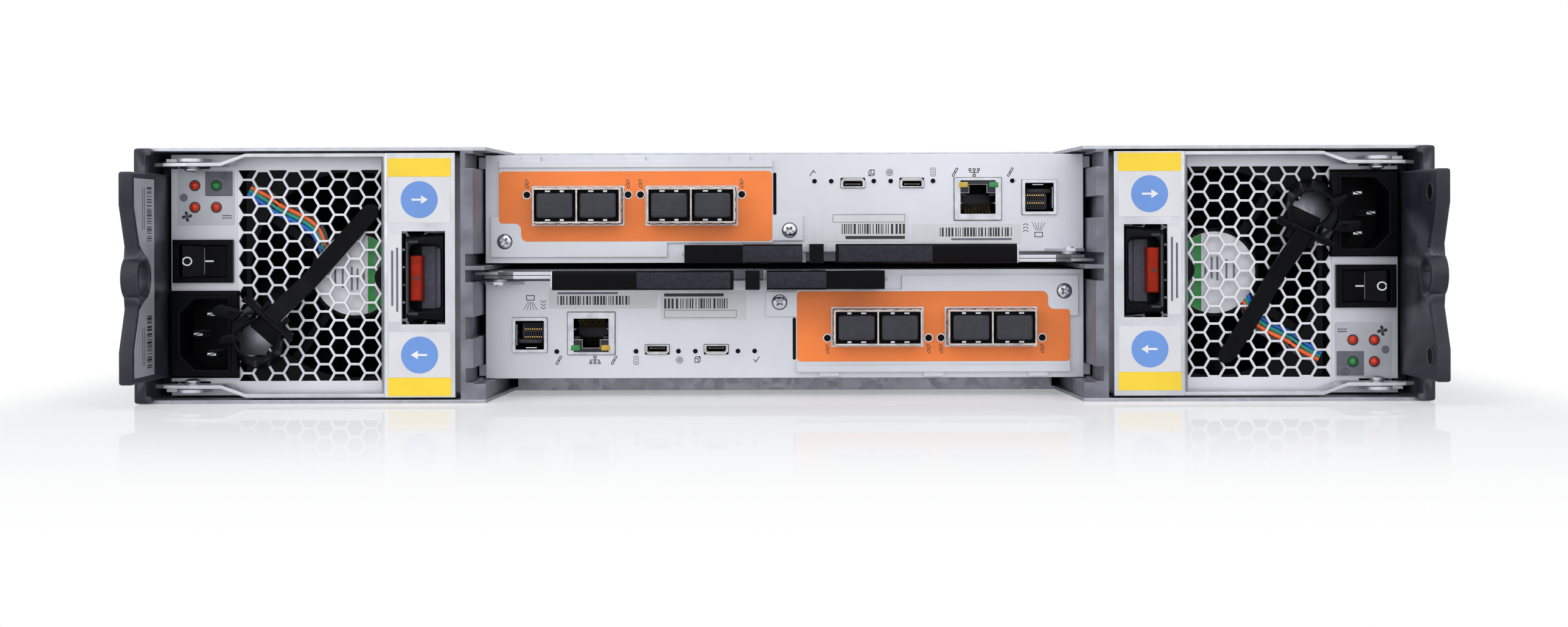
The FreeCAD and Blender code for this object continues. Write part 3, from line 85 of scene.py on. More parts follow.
PSU_OUT, PSU_LOW = low("left_psu_case").x, low("left_psu_case").z
PSU_TOP = high("left_psu_case").z
PSU_MID = (PSU_LOW + PSU_TOP) / 2
PANEL = low("left_psu_grille").y
YOKE = low("left_psu_handle").y
FAN_X, FAN_Z = centre("left_psu_fan_frame").x, centre("left_psu_fan_frame").z
CLAMP_X, CLAMP_Z = low("left_psu_cord_clamp").x + 8.5, low("left_psu_grille").z + 21.6
LAMPS = [(x, z) for x in (8.3, 15.8) for z in (-10.8, -18.4)]   # from the panel's upper corner
GREEN_LAMP = LAMPS[2]

CTRL_LEFT, CTRL_LOW = low("lower_controller_face").x - 0.2, low("lower_controller_case").z
CTRL_RIGHT = -CTRL_LEFT
CTRL_MID = (CTRL_LOW + high("upper_controller_case").z) / 2
FACE = high("lower_host_port_plate").y
HOST_PROUD = 1.2            # the host port plate stands this far ahead of the face
PLATE = FACE - HOST_PROUD
PORT_PROUD = 0.6            # so do the service ports
CAGES = ((-88.8, -57.8), (-48.6, -17.6))    # from the controller's lower right corner
CAGE_LOW, CAGE_TOP = 11.8, 24.2

TOP = high("top_cover")
REAR, FRONT = low("chassis_tray").y, high("chassis_tray").y
BRACKET_INSIDE = TOP.x - 6.3    # the face of a rear bracket that looks inwards
BRACKET_ROUND = 1.3             # radius on the brackets' outer edges
LEVER_STEEL = 80.5              # the long levers are bare steel farther out than this

SUPPLIES = (("left", None), ("right", PSU_MID))
CONTROLLERS = (("lower", None), ("upper", CTRL_MID))

# ---- light and camera -----------------------------------------------------------------
WORLD_LIGHT = 0.34
FLOOR_FILL = 0.33
FLOOR_MIRROR = 0.17
MIRROR_FADE = 0.24              # metres in front of the shelf
FLOOR_HALF = 6
CAMERA_AWAY, CAMERA_HEIGHT, CAMERA_ROLL = 0.6539, 0.0587, 0.15
LAMP_AIM = (0, -0.25, 0.04)
GRAIN_DEPTH = 0.0002


# ---- node materials -------------------------------------------------------------------
class Tree:
    """A short way to write the nodes of a material or a world."""

    def __init__(self, owner):
        owner.use_nodes = True
        self.owner = owner
        self.nodes, self.links = owner.node_tree.nodes, owner.node_tree.links

    def feed(self, socket, value):
        """Links a socket to another one, or gives it a value of its own."""
        if isinstance(value, bpy.types.NodeSocket):
            self.links.new(value, socket)
        else:
            socket.default_value = value

    def set(self, node, **values):
        for key, value in values.items():
            self.feed(node.inputs[key.replace("_", " ")], value)
        return node

    def add(self, kind, settings=None, **values):
        node = self.nodes.new("ShaderNode" + kind)
        for key, value in (settings or {}).items():
            setattr(node, key, value)
        return self.set(node, **values)

    def join(self, kind, *values, output=0, **settings):
        """A node with its inputs filled in order."""
        node = self.add(kind, settings)
        for socket, value in zip(node.inputs, values):
            self.feed(socket, value)
        return node.outputs[output]

    def math(self, operation, *values):
        return self.join("Math", *values, operation=operation)

    def mix(self, share, first, second):
        node = self.add("Mix", {"data_type": "RGBA"})
        for index, value in ((0, share), (6, first), (7, second)):
            self.feed(node.inputs[index], value)
        return node.outputs[2]

    def ramp(self, value, start, end):
        return self.add("MapRange", {"interpolation_type": "SMOOTHSTEP"}, Value=value, From_Min=start,
                        From_Max=end).outputs["Result"]

    def millimetres(self):
        place = self.add("TexCoord").outputs["Object"]
        return self.add("Mapping", Vector=place, Scale=[1 / MM] * 3).outputs["Vector"]

    def noise(self, place, scale, detail):
        return self.add("TexNoise", Vector=place, Scale=scale, Detail=detail).outputs["Fac"]

    def rounded(self, edge):
        """The normal, as if edges were rounded by so many millimetres."""
        return self.add("Bevel", {"samples": 4}, Radius=edge * MM).outputs["Normal"]

    def grained(self, strength, height, normal):
        return self.add("Bump", Strength=strength, Distance=GRAIN_DEPTH, Height=height,
                        Normal=normal).outputs["Normal"]

    def surface(self, **values):
        return self.set(self.nodes["Principled BSDF"], **values)


def rgba(colour, factor=1.0):
    """Display values, 0 to 1, to the linear values that the shader takes."""
    shown = [min(1.0, c * factor) for c in colour]
    return [((c + 0.055) / 1.055) ** 2.4 if c > 0.04045 else c / 12.92 for c in shown] + [1.0]


def finish(name, colour, metal, rough, tint, mottle, grain, bump, edge=0.35, wear=0.25, worn=None,
           coat=0.0, spangle=0.0, gloss=0.5, swing=0.14):
    """One surface: cloudy colour, fine grain in the bump, softened edges that wear lighter."""
    tree = Tree(bpy.data.materials.new(name))
    place = tree.millimetres()
    clouds, fine = tree.noise(place, mottle, 4.0), tree.noise(place, grain, 3.0)
    base = tree.mix(tree.ramp(clouds, 0.3, 0.7), rgba(colour, 1 - tint), rgba(colour, 1 + tint))
    specks = tree.math("MULTIPLY", tree.ramp(fine, 0.35, 0.75), tint * 1.5)
    base = tree.mix(specks, base, rgba(colour, 1 - 2 * tint))
    if spangle:
        cells = tree.add("TexVoronoi", Vector=place, Scale=0.42).outputs["Color"]
        flake = tree.add("SeparateColor", Color=cells).outputs[0]
        base = tree.mix(tree.math("MULTIPLY", flake, spangle), base, rgba(colour, 0.72))
        roughness = tree.math("MULTIPLY_ADD", flake, 0.12, rough - 0.06)
    else:
        roughness = tree.math("MULTIPLY_ADD", tree.ramp(clouds, 0.25, 0.75), swing, rough - swing / 2)
    soft = tree.rounded(edge)
    true = tree.add("NewGeometry").outputs["True Normal"]
    turn = tree.join("VectorMath", soft, true, output="Value", operation="DOT_PRODUCT")
    patchy = tree.math("MULTIPLY", tree.ramp(turn, 0.985, 0.86), tree.ramp(clouds, 0.2, 0.6))
    bare = rgba(worn) if worn else rgba(colour, 1.5)
    tree.surface(Base_Color=tree.mix(tree.math("MULTIPLY", patchy, wear), base, bare), Roughness=roughness,
                 Metallic=metal, Coat_Weight=coat, Specular_IOR_Level=gloss,
                 Normal=tree.grained(bump, fine, soft))
    return tree.owner


def arm_and_grip(split):
    """Grey plastic, and bare steel farther out than `split`, where the arm leaves the grip."""
    tree = Tree(bpy.data.materials.new("lever_arm_and_grip"))
    place = tree.millimetres()
    apart = tree.math("ABSOLUTE", tree.add("SeparateXYZ", Vector=place).outputs["X"])
    steel = tree.math("GREATER_THAN", apart, split)
    grain = tree.noise(place, 2.2, 3.0)
    plastic = tree.mix(grain, rgba((0.028, 0.028, 0.040)), rgba((0.046, 0.046, 0.060)))
    metal = tree.mix(grain, rgba((0.68, 0.69, 0.71)), rgba((0.80, 0.81, 0.83)))
    tree.surface(Base_Color=tree.mix(steel, plastic, metal), Roughness=0.37,
                 Metallic=tree.math("MULTIPLY", steel, 0.85), Specular_IOR_Level=0.06,
                 Normal=tree.grained(0.2, grain, tree.rounded(0.4)))
    return tree.owner


def film(name, colour, edge, wear):
    return finish(name, colour, 0.0, 0.40, 0.02, 0.06, 4.0, 0.05, edge, wear)


def ink(name, colour, tint):
    return finish(name, colour, 0.0, 0.5, tint, 0.3, 4.0, 0.05, 0.03, 0.0)


def lens(name, colour, rough=0.12, edge=0.2, coat=0.25):
    return finish(name, colour, 0.0, rough, 0.05, 0.5, 2.0, 0.02, edge, 0.0, coat=coat, gloss=0.3)


# name, colour, metal, roughness, tint, size of clouds, size of grain, bump, edge, wear
GALVANISED = finish("galvanised", (0.64, 0.65, 0.69), 0.80, 0.42, 0.03, 0.02, 1.6, 0.12, 0.35, 0.5,
                    (0.95, 0.95, 0.96), swing=0.04, spangle=0.35)
COVER = finish("cover_steel", (0.72, 0.73, 0.76), 0.85, 0.44, 0.025, 0.012, 2.2, 0.14, 0.35, 0.7,
               (0.95, 0.95, 0.97), swing=0.04, spangle=0.22)
MODULE = finish("module_steel", (0.78, 0.79, 0.82), 0.65, 0.46, 0.03, 0.02, 4.0, 0.10, 0.35, 0.5,
                (0.96, 0.96, 0.97), swing=0.05)
SATIN = finish("face_satin", (0.86, 0.86, 0.89), 0.45, 0.48, 0.02, 0.05, 5.0, 0.22, 0.35, 0.5,
               (0.97, 0.97, 0.98))
CHARCOAL = finish("charcoal_moulding", (0.175, 0.18, 0.215), 0.0, 0.36, 0.10, 0.1, 2.6, 0.30, 0.6, 0.45,
                  (0.46, 0.47, 0.52), gloss=0.22)
GUIDE = finish("guide_casting", (0.46, 0.465, 0.51), 0.25, 0.48, 0.12, 0.12, 2.2, 0.35, 0.5, 0.5,
               (0.66, 0.67, 0.70), gloss=0.35)
BLACK = finish("black_plastic", (0.035, 0.037, 0.055), 0.0, 0.34, 0.15, 0.2, 3.0, 0.25, 0.4, 0.30,
               (0.22, 0.22, 0.27), gloss=0.07)
GREY = finish("grey_plastic", (0.035, 0.035, 0.047), 0.0, 0.38, 0.12, 0.2, 2.4, 0.35, 0.4, 0.35,
              (0.22, 0.22, 0.26), gloss=0.06)
BOARD = finish("circuit_board", (0.06, 0.22, 0.13), 0.0, 0.38, 0.2, 0.25, 1.0, 0.2, 0.2, coat=0.3)
LENS = finish("lamp_lens", (0.75, 0.10, 0.06), 0.0, 0.2, 0.1, 0.5, 2.0, 0.03, 0.2, coat=0.6)
RED = finish("red_plastic", (0.60, 0.15, 0.07), 0.0, 0.42, 0.08, 0.2, 3.0, 0.15, 0.5, 0.3, gloss=0.10)
HANDLE = finish("handle_steel", (0.74, 0.75, 0.77), 0.85, 0.36, 0.05, 0.06, 2.0, 0.10, 0.35, 0.6,
                (0.97, 0.97, 0.98), spangle=0.15)
INSULATION = finish("wire_insulation", (0.15, 0.15, 0.15), 0.0, 0.45, 0.1, 0.3, 2.0, 0.1, 0.1)
PORT = finish("port_metal", (0.72, 0.69, 0.67), 0.9, 0.30, 0.10, 0.3, 2.0, 0.15, 0.2, 0.5, (0.97, 0.97, 0.97))
LEVER = arm_and_grip(LEVER_STEEL)
SLOT_FINISH = {"galvanised_sheet": GALVANISED, "cover_sheet": COVER, "module_sheet": MODULE,
               "panel_sheet": SATIN, "dark_moulding": CHARCOAL, "guide_casting": GUIDE,
               "black_plastic": BLACK, "grey_plastic": GREY, "circuit_board": BOARD,
               "lamp_lens": LENS, "red_plastic": RED, "handle_sheet": HANDLE,
               "wire_insulation": INSULATION, "port_metal": PORT}

PAPER = finish("label_paper", (0.87, 0.87, 0.885), 0.0, 0.42, 0.015, 0.08, 3.0, 0.04, 0.06, 0.1)
SILVER_LABEL = finish("silver_label", (0.72, 0.73, 0.76), 0.35, 0.45, 0.03, 0.08, 4.0, 0.06, 0.06, 0.2)
# Dark print and small dark parts, and the ring of painted shade round each screw head.
INK_AND_SHADE = ink("dark_ink_and_painted_shade", (0.13, 0.13, 0.15), 0.1)
# Grey print, and the painted highlight along the rocker's crest.
SOFT_INK_AND_HIGHLIGHT = ink("grey_ink_and_painted_highlight", (0.40, 0.41, 0.45), 0.06)
WHITE_INK = ink("white_ink", (0.93, 0.93, 0.94), 0.03)
ORANGE = film("orange_film", (1.0, 0.52, 0.22), 0.08, 0.15)
YELLOW = film("yellow_film", (0.97, 0.83, 0.20), 0.06, 0.1)
BLUE = film("blue_film", (0.42, 0.59, 0.86), 0.05, 0.0)
GREEN = finish("green_film", (0.07, 0.52, 0.20), 0.0, 0.42, 0.03, 0.1, 4.0, 0.05, 0.05, 0.0)
BRIGHT = finish("bright_plating", (0.73, 0.74, 0.77), 0.95, 0.28, 0.05, 0.3, 3.0, 0.10, 0.15, 0.3)
GOLD = finish("gold_plating", (0.92, 0.74, 0.38), 0.95, 0.24, 0.05, 0.3, 3.0, 0.05, 0.05, 0.1)
PEBBLE = finish("pebbled_grip", (0.17, 0.175, 0.205), 0.0, 0.42, 0.12, 0.9, 2.2, 0.7, 0.3, 0.3,
                (0.40, 0.41, 0.45), gloss=0.12)
PLUG = finish("plug_rubber", (0.25, 0.25, 0.275), 0.0, 0.50, 0.05, 0.3, 2.5, 0.3, 0.4, 0.3,
              (0.36, 0.36, 0.39), gloss=0.12)
# Grey for the thumb wall, and painted light on the finger cup's floor.
THUMB_AND_PAINTED_LIGHT = finish("thumb_pad_and_painted_light", (0.36, 0.365, 0.42), 0.0, 0.45, 0.08, 0.5, 2.4, 0.4, 0.3, 0.3,
               (0.50, 0.51, 0.56), gloss=0.2)
# Near-black: the linings inside sockets and cages, and painted shade in flat dark pieces for holes, contact slots and
# the gap by the host plate.
PIT_AND_PAINTED_SHADE = finish("dark_inside_and_painted_shade", (0.02, 0.02, 0.025), 0.0, 0.60, 0.15, 0.3, 2.0, 0.2, 0.1, 0.1, gloss=0.1)
RED_LENS = lens("red_lens", (0.86, 0.20, 0.05))
GREEN_LENS = lens("green_lens", (0.16, 0.55, 0.26))
AMBER_LENS = lens("amber_lens", (0.80, 0.66, 0.22), 0.15, 0.1, 0.2)
WIRES = [finish(f"wire_{name}", colour, 0.0, 0.35, 0.05, 0.2, 2.0, 0.05, 0.1, 0.0)
         for name, colour in (("grey", (0.16, 0.16, 0.18)), ("orange", (0.97, 0.40, 0.16)),
                              ("teal", (0.06, 0.55, 0.48)), ("blue", (0.08, 0.38, 0.76)))]


# ---- outlines, in (x, z) unless said otherwise ----------------------------------------
def arc(x, z, radius, start, end, count=6):
    turns = [math.radians(start + (end - start) * k / count) for k in range(count + 1)]
    return [(x + radius * math.cos(a), z + radius * math.sin(a)) for a in turns]


def circle(x, z, radius, count=32):
    return arc(x, z, radius, 0, 360, count)[:-1]


def rectangle(x0, x1, z0, z1, radius=0.0):
    """Corners anticlockwise; a radius rounds all four."""
    if radius <= 0:
        return [(x0, z0), (x1, z0), (x1, z1), (x0, z1)]
    corners = []
    for x, z, start in ((x0 + radius, z0 + radius, 180), (x1 - radius, z0 + radius, 270),
                        (x1 - radius, z1 - radius, 0), (x0 + radius, z1 - radius, 90)):
        corners += arc(x, z, radius, start, start + 90)
    return corners


def turned(outline, x, z, degrees):
    """The outline turned about a point."""
    c, s = math.cos(math.radians(degrees)), math.sin(math.radians(degrees))
    return [(x + (px - x) * c - (pz - z) * s, z + (px - x) * s + (pz - z) * c) for px, pz in outline]


def link(x, z, lean):
    """One link of a chain mark."""
    return turned(rectangle(x - 0.45, x + 0.45, z - 0.95, z + 0.95, 0.44), x, z, lean)


def inset(outline, distance):
    """The outline drawn in by a distance, with mitred corners."""
    moved = []
    for before, here, after in zip(outline[-1:] + outline[:-1], outline, outline[1:] + outline[:1]):
        first = Vector((here[0] - before[0], here[1] - before[1])).normalized()
        second = Vector((after[0] - here[0], after[1] - here[1])).normalized()
        across = Vector((-first.y - second.y, first.x + second.x))
        step = across / 2 * (distance / max(0.35, across.length_squared / 4))
        moved.append((here[0] + step.x, here[1] + step.y))
    return moved


def smooth_line(points, steps):
    """More points along the same line, bent gently through every given point."""
    spots = [Vector(p) for p in points]
    line = []
    for k in range(len(spots) - 1):
        a, b = spots[max(k - 1, 0)], spots[k]
        c, d = spots[k + 1], spots[min(k + 2, len(spots) - 1)]
        for step in range(steps):
            t = step / steps
            line.append(0.5 * ((2 * b) + (c - a) * t + (2 * a - 5 * b + 4 * c - d) * t * t
                               + (3 * b - a - 3 * c + d) * t ** 3))
    return line + [spots[-1]]


# ---- forms ----------------------------------------------------------------------------
def band(a, b, count):
    """Quads between two rings of points, which start at a and b."""
    return [(a + k, a + (k + 1) % count, b + (k + 1) % count, b + k) for k in range(count)]


class Form:
    """A mesh of several shapes, drawn from an origin, each with a finish of its own."""

    def __init__(self, material, origin=(0, 0, 0)):
        self.mesh = bmesh.new()
        self.finishes = [material]
        self.index = 0
        self.at(*origin).plane("y")

    def at(self, x, y, z):
        """Moves the origin for the shapes that follow."""
        self.origin = (x, y, z)
        return self

    def paint(self, material):
        if material not in self.finishes:
            self.finishes.append(material)
        self.index = self.finishes.index(material)
        return self

    def plane(self, axis):
        """Outlines lie across this axis: y is (x, z), x is (y, z), z is (x, y)."""
        self.point = {"y": lambda a, b, depth: (a, depth, b), "x": lambda a, b, depth: (depth, a, b),
                      "z": lambda a, b, depth: (a, b, depth)}[axis]
        return self

    def skin(self, points, faces):
        made = [self.mesh.verts.new([p + o for p, o in zip(point, self.origin)]) for point in points]
        for face in faces:
            self.mesh.faces.new([made[i] for i in face]).material_index = self.index
        return self

    def rings(self, loops):
        """A closed body through loops with as many points each."""
        count, last = len(loops[0]), (len(loops) - 1) * len(loops[0])
        faces = [quad for start in range(0, last, count) for quad in band(start, start + count, count)]
        faces += [tuple(range(count - 1, -1, -1)), tuple(range(last, last + count))]
        return self.skin([point for loop in loops for point in loop], faces)

    def layers(self, loops):
        """A closed body through flat outlines: (outline, depth) pairs."""
        return self.rings([[self.point(a, b, depth) for a, b in outline] for outline, depth in loops])

    def prism(self, outline, front, back, bevel=0.0):
        """An outline with thickness; a bevel rounds its front edge."""
        if bevel <= 0:
            return self.layers([(outline, front), (outline, back)])
        step = bevel if back > front else -bevel
        return self.layers([(inset(outline, bevel), front), (inset(outline, bevel * 0.3), front + step * 0.3),
                            (outline, front + step), (outline, back)])

    def slab(self, material, x0, x1, z0, z1, front, back, radius=0.0, bevel=0.0):
        """A rectangular prism in a finish."""
        return self.paint(material).prism(rectangle(x0, x1, z0, z1, radius), front, back, bevel)

    def pierced(self, outer, holes, front, back):
        """A plate with holes in it."""
        loops = [outer] + holes
        flat = [point for loop in loops for point in loop]
        count, start, faces = len(flat), 0, []
        for a, b, c in tessellate_polygon([[Vector((x, z, 0)) for x, z in loop] for loop in loops]):
            faces += [(a, b, c), (count + c, count + b, count + a)]
        for loop in loops:
            faces += band(start, count + start, len(loop))
            start += len(loop)
        return self.skin([self.point(x, z, depth) for depth in (front, back) for x, z in flat], faces)

    def well(self, outline, front, depth, wall):
        """The lining of a socket: a thin wall and a floor."""
        outer, inner = inset(outline, 0.04), inset(outline, wall)
        return self.layers([(outer, front + depth), (outer, front), (inner, front),
                            (inner, front + depth - wall)])

    def lathe(self, a, b, profile, count=28):
        """Rings about a line across the plane: (radius, depth) pairs from the front."""
        return self.layers([(circle(a, b, max(radius, 0.02), count), depth) for radius, depth in profile])

    def tube(self, points, radius, count=10):
        """A round bar along points, with ends closed."""
        spots = [Vector(p) for p in points]
        side, loops = None, []
        for k, spot in enumerate(spots):
            along = (spots[min(k + 1, len(spots) - 1)] - spots[max(k - 1, 0)]).normalized()
            side = side or along.orthogonal().normalized()
            side = (side - along * side.dot(along)).normalized()
            other = along.cross(side)
            loops.append([spot + (side * a + other * b) * radius for a, b in circle(0, 0, 1, count)])
        return self.rings(loops)

    def relief(self, x, z, radius, front, height, rings, count):
        """A round boss facing -y whose surface stands height(dx, dz) ahead of the front."""
        points = [(x, front - height(0, 0), z)]
        for ring in range(1, rings + 1):
            for dx, dz in circle(0, 0, radius * ring / rings, count):
                points.append((x + dx, front - height(dx, dz), z + dz))
        base = len(points)
        points += [(px, front + 0.3, pz) for px, pz in circle(x, z, radius, count)]
        faces = [(0, 1 + (k + 1) % count, 1 + k) for k in range(count)]
        for start in range(1, base, count):
            faces += band(start, start + count, count)
        return self.skin(points, faces + [tuple(base + k for k in range(count - 1, -1, -1))])

    def shell(self, grid, thickness):
        """A curved sheet through a grid of points, thickened along its own normals."""
        rows, columns = len(grid), len(grid[0])
        front, back = [], []
        for r in range(rows):
            for c in range(columns):
                down = grid[min(r + 1, rows - 1)][c] - grid[max(r - 1, 0)][c]
                over = grid[r][min(c + 1, columns - 1)] - grid[r][max(c - 1, 0)]
                out = down.cross(over).normalized() * (thickness / 2)
                front.append(grid[r][c] + out)
                back.append(grid[r][c] - out)
        total = rows * columns
        faces = []
        for r in range(rows - 1):
            for c in range(columns - 1):
                a, b = r * columns + c, (r + 1) * columns + c
                faces += [(a, a + 1, b + 1, b), (total + a, total + b, total + b + 1, total + a + 1)]
        rim = list(range(columns)) + [r * columns + columns - 1 for r in range(1, rows)]
        rim += [(rows - 1) * columns + c for c in range(columns - 2, -1, -1)]
        rim += [r * columns for r in range(rows - 2, 0, -1)]
        faces += [(a, total + a, total + b, b) for a, b in zip(rim, rim[1:] + rim[:1])]
        return self.skin(front + back, faces)

    def drape(self, node):
        """Moves every point so that depth 0 lies on the side of a node that faces -y."""
        data = frame["nodes"][node].data
        tree = BVHTree.FromPolygons([v.co / MM for v in data.vertices],
                                    [list(p.vertices) for p in data.polygons])
        for vertex in self.mesh.verts:
            start = Vector((vertex.co.x, low(node).y - 50, vertex.co.z))
            hit = tree.ray_cast(start, Vector((0, 1, 0)))[0]
            if hit is not None:
                vertex.co.y += hit.y


def show(name, data):
    thing = bpy.data.objects.new(name, data)
    bpy.context.scene.collection.objects.link(thing)
    return thing


def stand(name, mesh, body, materials, instead=(), smooth=38, place=Matrix()):
    """Makes a piece of a mesh and says what it rides on and stands for."""
    data = bpy.data.meshes.new(name)
    mesh.to_mesh(data)
    data.transform(place)
    for material in materials:
        data.materials.append(material)
    data.shade_smooth()
    data.set_sharp_from_angle(angle=math.radians(smooth))
    thing = show(name, data)
    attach(thing, body)
    if instead:
        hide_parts(*instead)


def settle(form, name, body, mid=None, instead=(), smooth=38):
    """Stands a form in its place, turned half way round the height mid where one is given."""
    bmesh.ops.recalc_face_normals(form.mesh, faces=form.mesh.faces)
    place = Matrix.Scale(MM, 4)
    if mid is not None:
        place = place @ Matrix.Translation((0, 0, 2 * mid)) @ Matrix.Rotation(math.pi, 4, "Y")
    stand(name, form.mesh, body, form.finishes, instead, smooth, place)


def settle_twice(form, name, modules, body, instead=None, smooth=38):
    """The same form on both modules of a kind."""
    for side, mid in modules:
        nodes = (f"{side}_{instead}",) if instead else ()
        settle(form, f"{side}_{name}", f"{side}_{body}", mid, nodes, smooth)


# ---- small parts that turn up often ---------------------------------------------------
def screw(form, x, z, radius=2.45):
    """A domed head with a cross recess, and a ring of painted shade round it."""
    arm, reach = radius * 0.17, radius * 0.62

    def height(dx, dz):
        r = math.hypot(dx, dz)
        dome = radius * 0.5 * math.sqrt(max(0.0, 1 - (r / radius) ** 2 * 0.9))
        across = min(abs(dx * 0.80 - dz * 0.60), abs(dx * 0.60 + dz * 0.80))
        deep = max(0.0, 1 - (across / arm) ** 4) if across < arm and r < reach else 0.0
        return dome - deep * radius * 0.42 * (1 - (r / reach) ** 2)

    form.paint(BRIGHT).relief(x, z, radius, 0, height, 16, 64)
    # A dark ring round the head: painted shade where it meets the plate.
    form.paint(INK_AND_SHADE).lathe(x, z, [(radius * 1.12, -0.06), (radius * 1.12, 0.05)])


def eyelet(form, x, z, front, radius):
    """A lamp hole: a thin turned-in rim round a dark disc, painted shade for the hole's depth."""
    rim = circle(x, z, radius + 0.35)
    form.paint(BRIGHT).pierced(rim, [circle(x, z, radius)], front - 0.10, front + 0.05)
    # The dark disc is painted shade inside the hole.
    form.paint(PIT_AND_PAINTED_SHADE).lathe(x, z, [(radius * 0.45, front - 0.005), (radius, front - 0.06), (radius, front + 0.05)])


def stripes(form, x0, x1, z0, z1, front, count, seed):
    """Upright printed lines of uneven width and space."""
    rng = random.Random(seed)
    widths = [rng.choice((0.5, 0.8, 1.3)) for _ in range(2 * count)]
    unit = (x1 - x0) / sum(widths)
    for k, width in enumerate(widths):
        if k % 2 == 0:
            form.slab(INK_AND_SHADE, x0, x0 + width * unit, z0, z1, front - 0.02, front + 0.02)
        x0 += width * unit


# ---- power supplies -------------------------------------------------------------------
def clamp_mount():
    """The clamp's screw plate, which fills a few cells of the grille behind the ring."""
    form = Form(GALVANISED, (CLAMP_X, PANEL, CLAMP_Z))
    plate = [(-9.0, -7.6), (0.2, -7.6), (1.6, -4.6), (4.6, -4.6), (4.6, 3.0), (1.4, 8.2), (-9.0, 8.2)]
    form.prism(plate, -0.02, 0.95, 0.12)
    settle_twice(form, "psu_clamp_plate", SUPPLIES, "psu")


def supply_panel():
    """Indicator label with its marks, and the nuts on the handle's pivots."""
    form = Form(SILVER_LABEL, (PSU_OUT, PANEL, PSU_TOP))
    x0, x1, z0, z1, face = 2.3, 22.1, -24.6, -5.4, -0.14
    form.slab(SILVER_LABEL, x0, x1, z0, z1, face, 0, 0.8)
    form.slab(SOFT_INK_AND_HIGHLIGHT, x0 + 9.6, x1 - 0.6, z1 - 9.1, z1 - 0.5, face - 0.03, face, 0.4)
    for x, z in LAMPS:
        form.paint(INK_AND_SHADE).pierced(circle(x, z, 1.95), [circle(x, z, 1.58)], face - 0.08, face)
    form.paint(SOFT_INK_AND_HIGHLIGHT).lathe(x0 + 2.1, z0 + 9.6, [(1.4, face - 0.04), (1.4, face)])
    x, z = x0 + 3.2, z0 + 3.0
    leaf = [(x, z), (x + 0.5, z + 0.9), (x + 0.1, z + 1.8), (x - 0.8, z + 1.7), (x - 0.7, z + 0.8)]
    for blade in range(4):
        form.paint(INK_AND_SHADE).prism(turned(leaf, x, z, 90 * blade), face - 0.04, face)
    form.slab(INK_AND_SHADE, x1 - 4.2, x1 - 1.0, z0 + 3.1, z0 + 3.4, face - 0.04, face)
    for k in range(3):
        x = x1 - 4.2 + 1.15 * k
        form.slab(INK_AND_SHADE, x, x + 0.9, z0 + 2.3, z0 + 2.6, face - 0.04, face)
    x, z = x1 - 3.6, z1 - 1.9
    form.pierced(circle(x, z, 1.25), [circle(x, z, 1.08)], face - 0.06, face)
    form.prism(turned(rectangle(x - 0.75, x + 0.75, z - 0.09, z + 0.09), x, z, 55), face - 0.06, face)
    form.plane("z").paint(BRIGHT)
    for z, way in ((-4.7, -1), (PSU_LOW - PSU_TOP + 4.7, 1)):
        form.layers([(circle(9.1, -6.0, radius, 24), z + way * rise)
                     for radius, rise in ((2.3, 0), (2.6, 0.4), (2.6, 1.0), (1.5, 1.6))])
    settle_twice(form, "psu_markings", SUPPLIES, "psu")


def hub_label():
    """Paper on the fan's hub with a green segment and bars of print."""
    form = Form(PAPER, (FAN_X, low("left_psu_fan_frame").y + 1.5, FAN_Z))
    form.lathe(0, 0, [(14.1, -0.12), (14.3, -0.06), (14.3, 0)], 64)
    chord = math.degrees(math.acos(4.6 / 14.2))
    form.paint(GREEN).prism(arc(0, 0, 14.2, -chord, chord, 24), -0.15, -0.05)
    for k, x in enumerate((-7.2, -4.6, -1.4, 0.6, 2.8)):
        tall = 7.5 - abs(x) * 0.5 - k * 0.6
        form.slab(SOFT_INK_AND_HIGHLIGHT, x, x + 0.7, -tall, tall * (0.7 - 0.1 * k), -0.14, -0.05)
    form.slab(SOFT_INK_AND_HIGHLIGHT, 7.0, 8.8, -7.5, 6.5, -0.165, -0.05, 0.6)
    settle_twice(form, "psu_hub_label", SUPPLIES, "psu")


def fan_rotor():
    """Hub cup with a rounded rim and seven swept blades."""
    front = low("left_psu_fan_rotor").y
    deep = high("left_psu_fan_rotor").y - front
    form = Form(BLACK, (FAN_X, front, FAN_Z))
    form.lathe(0, 0, [(13.0, 0.3), (14.6, 0), (15.4, 0.9), (15.5, deep - 0.5), (14.9, deep)], 56)
    blades, rows, columns = 7, 8, 9
    for blade in range(blades):
        grid = []
        for r in range(rows):
            out = r / (rows - 1)
            radius = 14.8 + 20.2 * out
            row = []
            for c in range(columns):
                along = c / (columns - 1)
                swing = math.radians(360 / blades * blade + 7.0 * out + (40 - 1.2 * r) * along)
                depth = 1.0 + (deep - 2.0) * along ** 1.25 * (0.94 - 0.18 * out) + 0.8 * out
                row.append(Vector((radius * math.cos(swing), depth, -radius * math.sin(swing))))
            grid.append(row)
        form.shell(grid, 1.3)
    settle_twice(form, "psu_impeller", SUPPLIES, "psu_fan_rotor", "psu_fan_rotor", 30)


